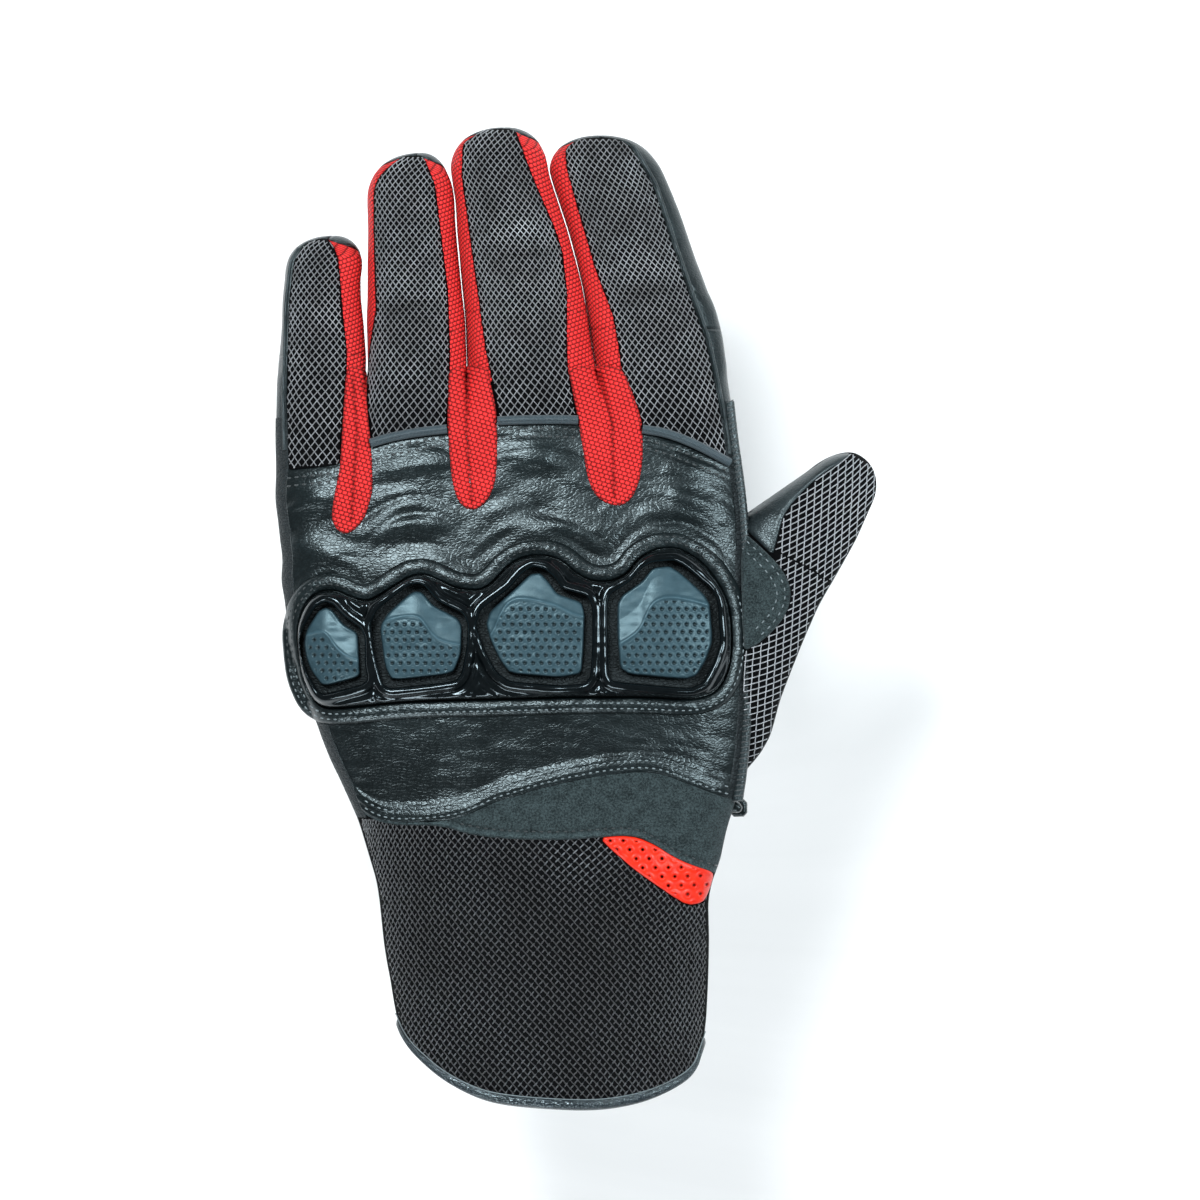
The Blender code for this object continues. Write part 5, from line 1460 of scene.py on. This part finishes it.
gus = plate("gusset_suede", cres_o, thumb_top, SUEDE, lift=.1, thick=.8, edge=.8, h=.6,
            extra=lambda x, y, d: -.2 * np.exp(-((d - 1.3) / .3) ** 2) - .2 * np.exp(-((d - 3.3) / .3) ** 2))
bodies, zs, ze = THUMB_ZONES["base"]
piece(gus, between=bodies, start=zs, end=ze, nodes=("thumb_gusset",), slot="grey_suede")
curve = np.array(plan((748, 536), (762, 549), (776, 563), (785, 576), (790, 589), (789, 604), (782, 619), (772, 631), (762, 640)))
curve = rounded(curve, closed=False, spacing=.8)
c1, c2 = shift(curve, -1.3 * 1), shift(curve, -3.3 * 1)
piece(stitches("gusset_stitches", [c1, c2], lambda x, y: thumb_top(x, y) + .75, STITCH_LIGHT, pitch=2.1, length=1.1, radius=.17, lift=.08),
      between=bodies, start=zs, end=ze)
st = plate("thumb_strip_leather", strip_o, thumb_top, SMOOTH, lift=.05, thick=.55, edge=.8, h=.7,
           extra=lambda x, y, d: .2 * np.exp(-((d - .9) / .5) ** 2))
bodies2, zs2, ze2 = THUMB_ZONES["tip"]
piece(st, between=bodies2, start=zs2, end=ze2, slot="black_leather")

# ------------------------------------------------------------------ welt along the thumb side of the hand
WELT = rounded(plan((729, 402), (733, 440), (739, 480), (744, 530), (746, 600), (747, 660), (747, 700), (745, 735), (741, 775), (737, 800)), closed=False, spacing=.7)


def welt_z(x, y):
    l, r, lo_, hi_ = hand_rows(y)
    return height(hand_rows, np.minimum(x, r - 1.6), y)


wl = on(welt_z, WELT, -1.0)
piece(tubes("side_welt", [wl], SMOOTH, 1.35, 14), body="hand", slot="black_leather")
ticks = []
p = resample(WELT, 1.35)
tan = np.gradient(p, axis=0)
tan /= np.linalg.norm(tan, axis=1)[:, None]
nrm = np.stack([tan[:, 1], -tan[:, 0]], 1)
for a, n_, t_ in zip(p, nrm, tan):
    s = np.linspace(-1, 1, 6)[:, None]
    q = a + n_ * s * 1.1 + t_ * s * .35
    zz = welt_z(np.array([a[0]]), np.array([a[1]]))[0] - 1.0 + 1.42 * np.sqrt(np.clip(1 - (s[:, 0] * .82) ** 2, 0, 1))
    ticks.append(np.column_stack([q, zz]))
piece(tubes("welt_ticks", ticks, STITCH, .16, 3), body="hand")
nub = rounded(plan((726, 800), (738, 801), (743, 807), (740, 813), (728, 812)), spacing=.4, turns=1)
piece(plate("wrist_nub", nub, lambda x, y: np.full(np.shape(x), 16.5), LEATHER, lift=0, thick=1.6, edge=1.0, h=.5, keep=2.4), body="hand", slot="black_leather")

# ------------------------------------------------------------------ lining seen through the mouth
n = 110
ph = 2 * np.pi * np.arange(n) / n
base_ring = section_ring(lambda x: at_x(hem_line, x) + .6, n)
P = []
for k in np.linspace(0, 1, 60):
    y = base_ring[:, 1] * (1 - k) + 20.0 * k
    x, z = section(hand_rows, y, ph)
    l, r, lo_, hi_ = hand_rows(y)
    cx, cz = (l + r) / 2, (lo_ + hi_) / 2
    s = 1 - 1.9 / np.hypot(x - cx, z - cz)
    P.append(np.column_stack([cx + (x - cx) * s, y, cz + (z - cz) * s]))
wrist(grid("mouth_lining", np.stack(P, 0), LINING, close=True, flip=True), slot="net_mesh")

# ------------------------------------------------------------------ anything of the plain frame still showing
for n_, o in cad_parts.items():
    if not o.hide_render:
        print("still shown:", n_)

# ------------------------------------------------------------------ floor, light, camera
def floor_mesh():
    """A plain floor with a low pedestal under the palm, so that fingers, strap and cuff can bend past its edges."""
    pad = rounded([(-52, -24), (24, -22), (27, 30), (-50, 32)], spacing=2, turns=3)
    c = pad.mean(0)
    rings, z = [], []
    for s, h in ((.0001, 0), (.5, 0), (.94, 0), (.985, -.35), (1.0, -1.4), (1.0, -60), (1.02, -68), (1.08, -71), (1.2, -72), (3, -72), (12, -72), (60, -72)):
        rings.append(np.column_stack([c + (pad - c) * s, np.full(len(pad), float(h))]))
    P = np.stack(rings, 0)
    m, t, s_, uv = material("floor_paper")
    nn = noise_tex(t, uv, .02, 3)
    t.links.new(ramp(t, nn, [(.3, (.86, .86, .86)), (.7, (.89, .89, .89))]), s_.inputs["Base Color"])
    s_.inputs["Roughness"].default_value = .9
    s_.inputs["Specular IOR Level"].default_value = .1
    return grid("floor", P, m, close=True, flip=True)


floor = floor_mesh()

world = bpy.data.worlds.new("studio") if bpy.context.scene.world is None else bpy.context.scene.world
bpy.context.scene.world = world
world.use_nodes = True
bg = world.node_tree.nodes.get("Background") or world.node_tree.nodes.new("ShaderNodeBackground")
bg.inputs[0].default_value = (.93, .97, 1.0, 1)
bg.inputs[1].default_value = .14


def lamp(name, at, size, power, colour=(1, 1, 1)):
    d = bpy.data.lights.new(name, "AREA")
    d.shape, d.size, d.size_y = "RECTANGLE", size[0], size[1]
    d.energy, d.color = power, colour
    o = bpy.data.objects.new(name, d)
    bpy.context.scene.collection.objects.link(o)
    o.location = at
    o.rotation_mode = "QUATERNION"
    o.rotation_quaternion = (Vector((0, 0, 0)) - Vector(at)).to_track_quat("-Z", "Y")


lamp("key", (-.30, .58, .95), (.42, .30), 16.0, (.94, .98, 1))
lamp("fill", (.75, .2, .7), (.25, .5), 9.0, (.90, .97, 1))
lamp("low", (-.3, -.85, .45), (.6, .3), 7.5, (.95, .98, 1))

cam_data = bpy.data.cameras.new("camera")
cam = bpy.data.objects.new("camera", cam_data)
bpy.context.scene.collection.objects.link(cam)
cam_data.sensor_width = 36
cam_data.clip_start, cam_data.clip_end = .05, 20
DIST = 1.5
cam_data.lens = 36 * (DIST - .015) / .300
cam.location = (.00625, .004125, DIST)
cam.rotation_euler = (0, 0, 0)
bpy.context.scene.camera = cam
bpy.context.scene.view_settings.view_transform = "Standard"
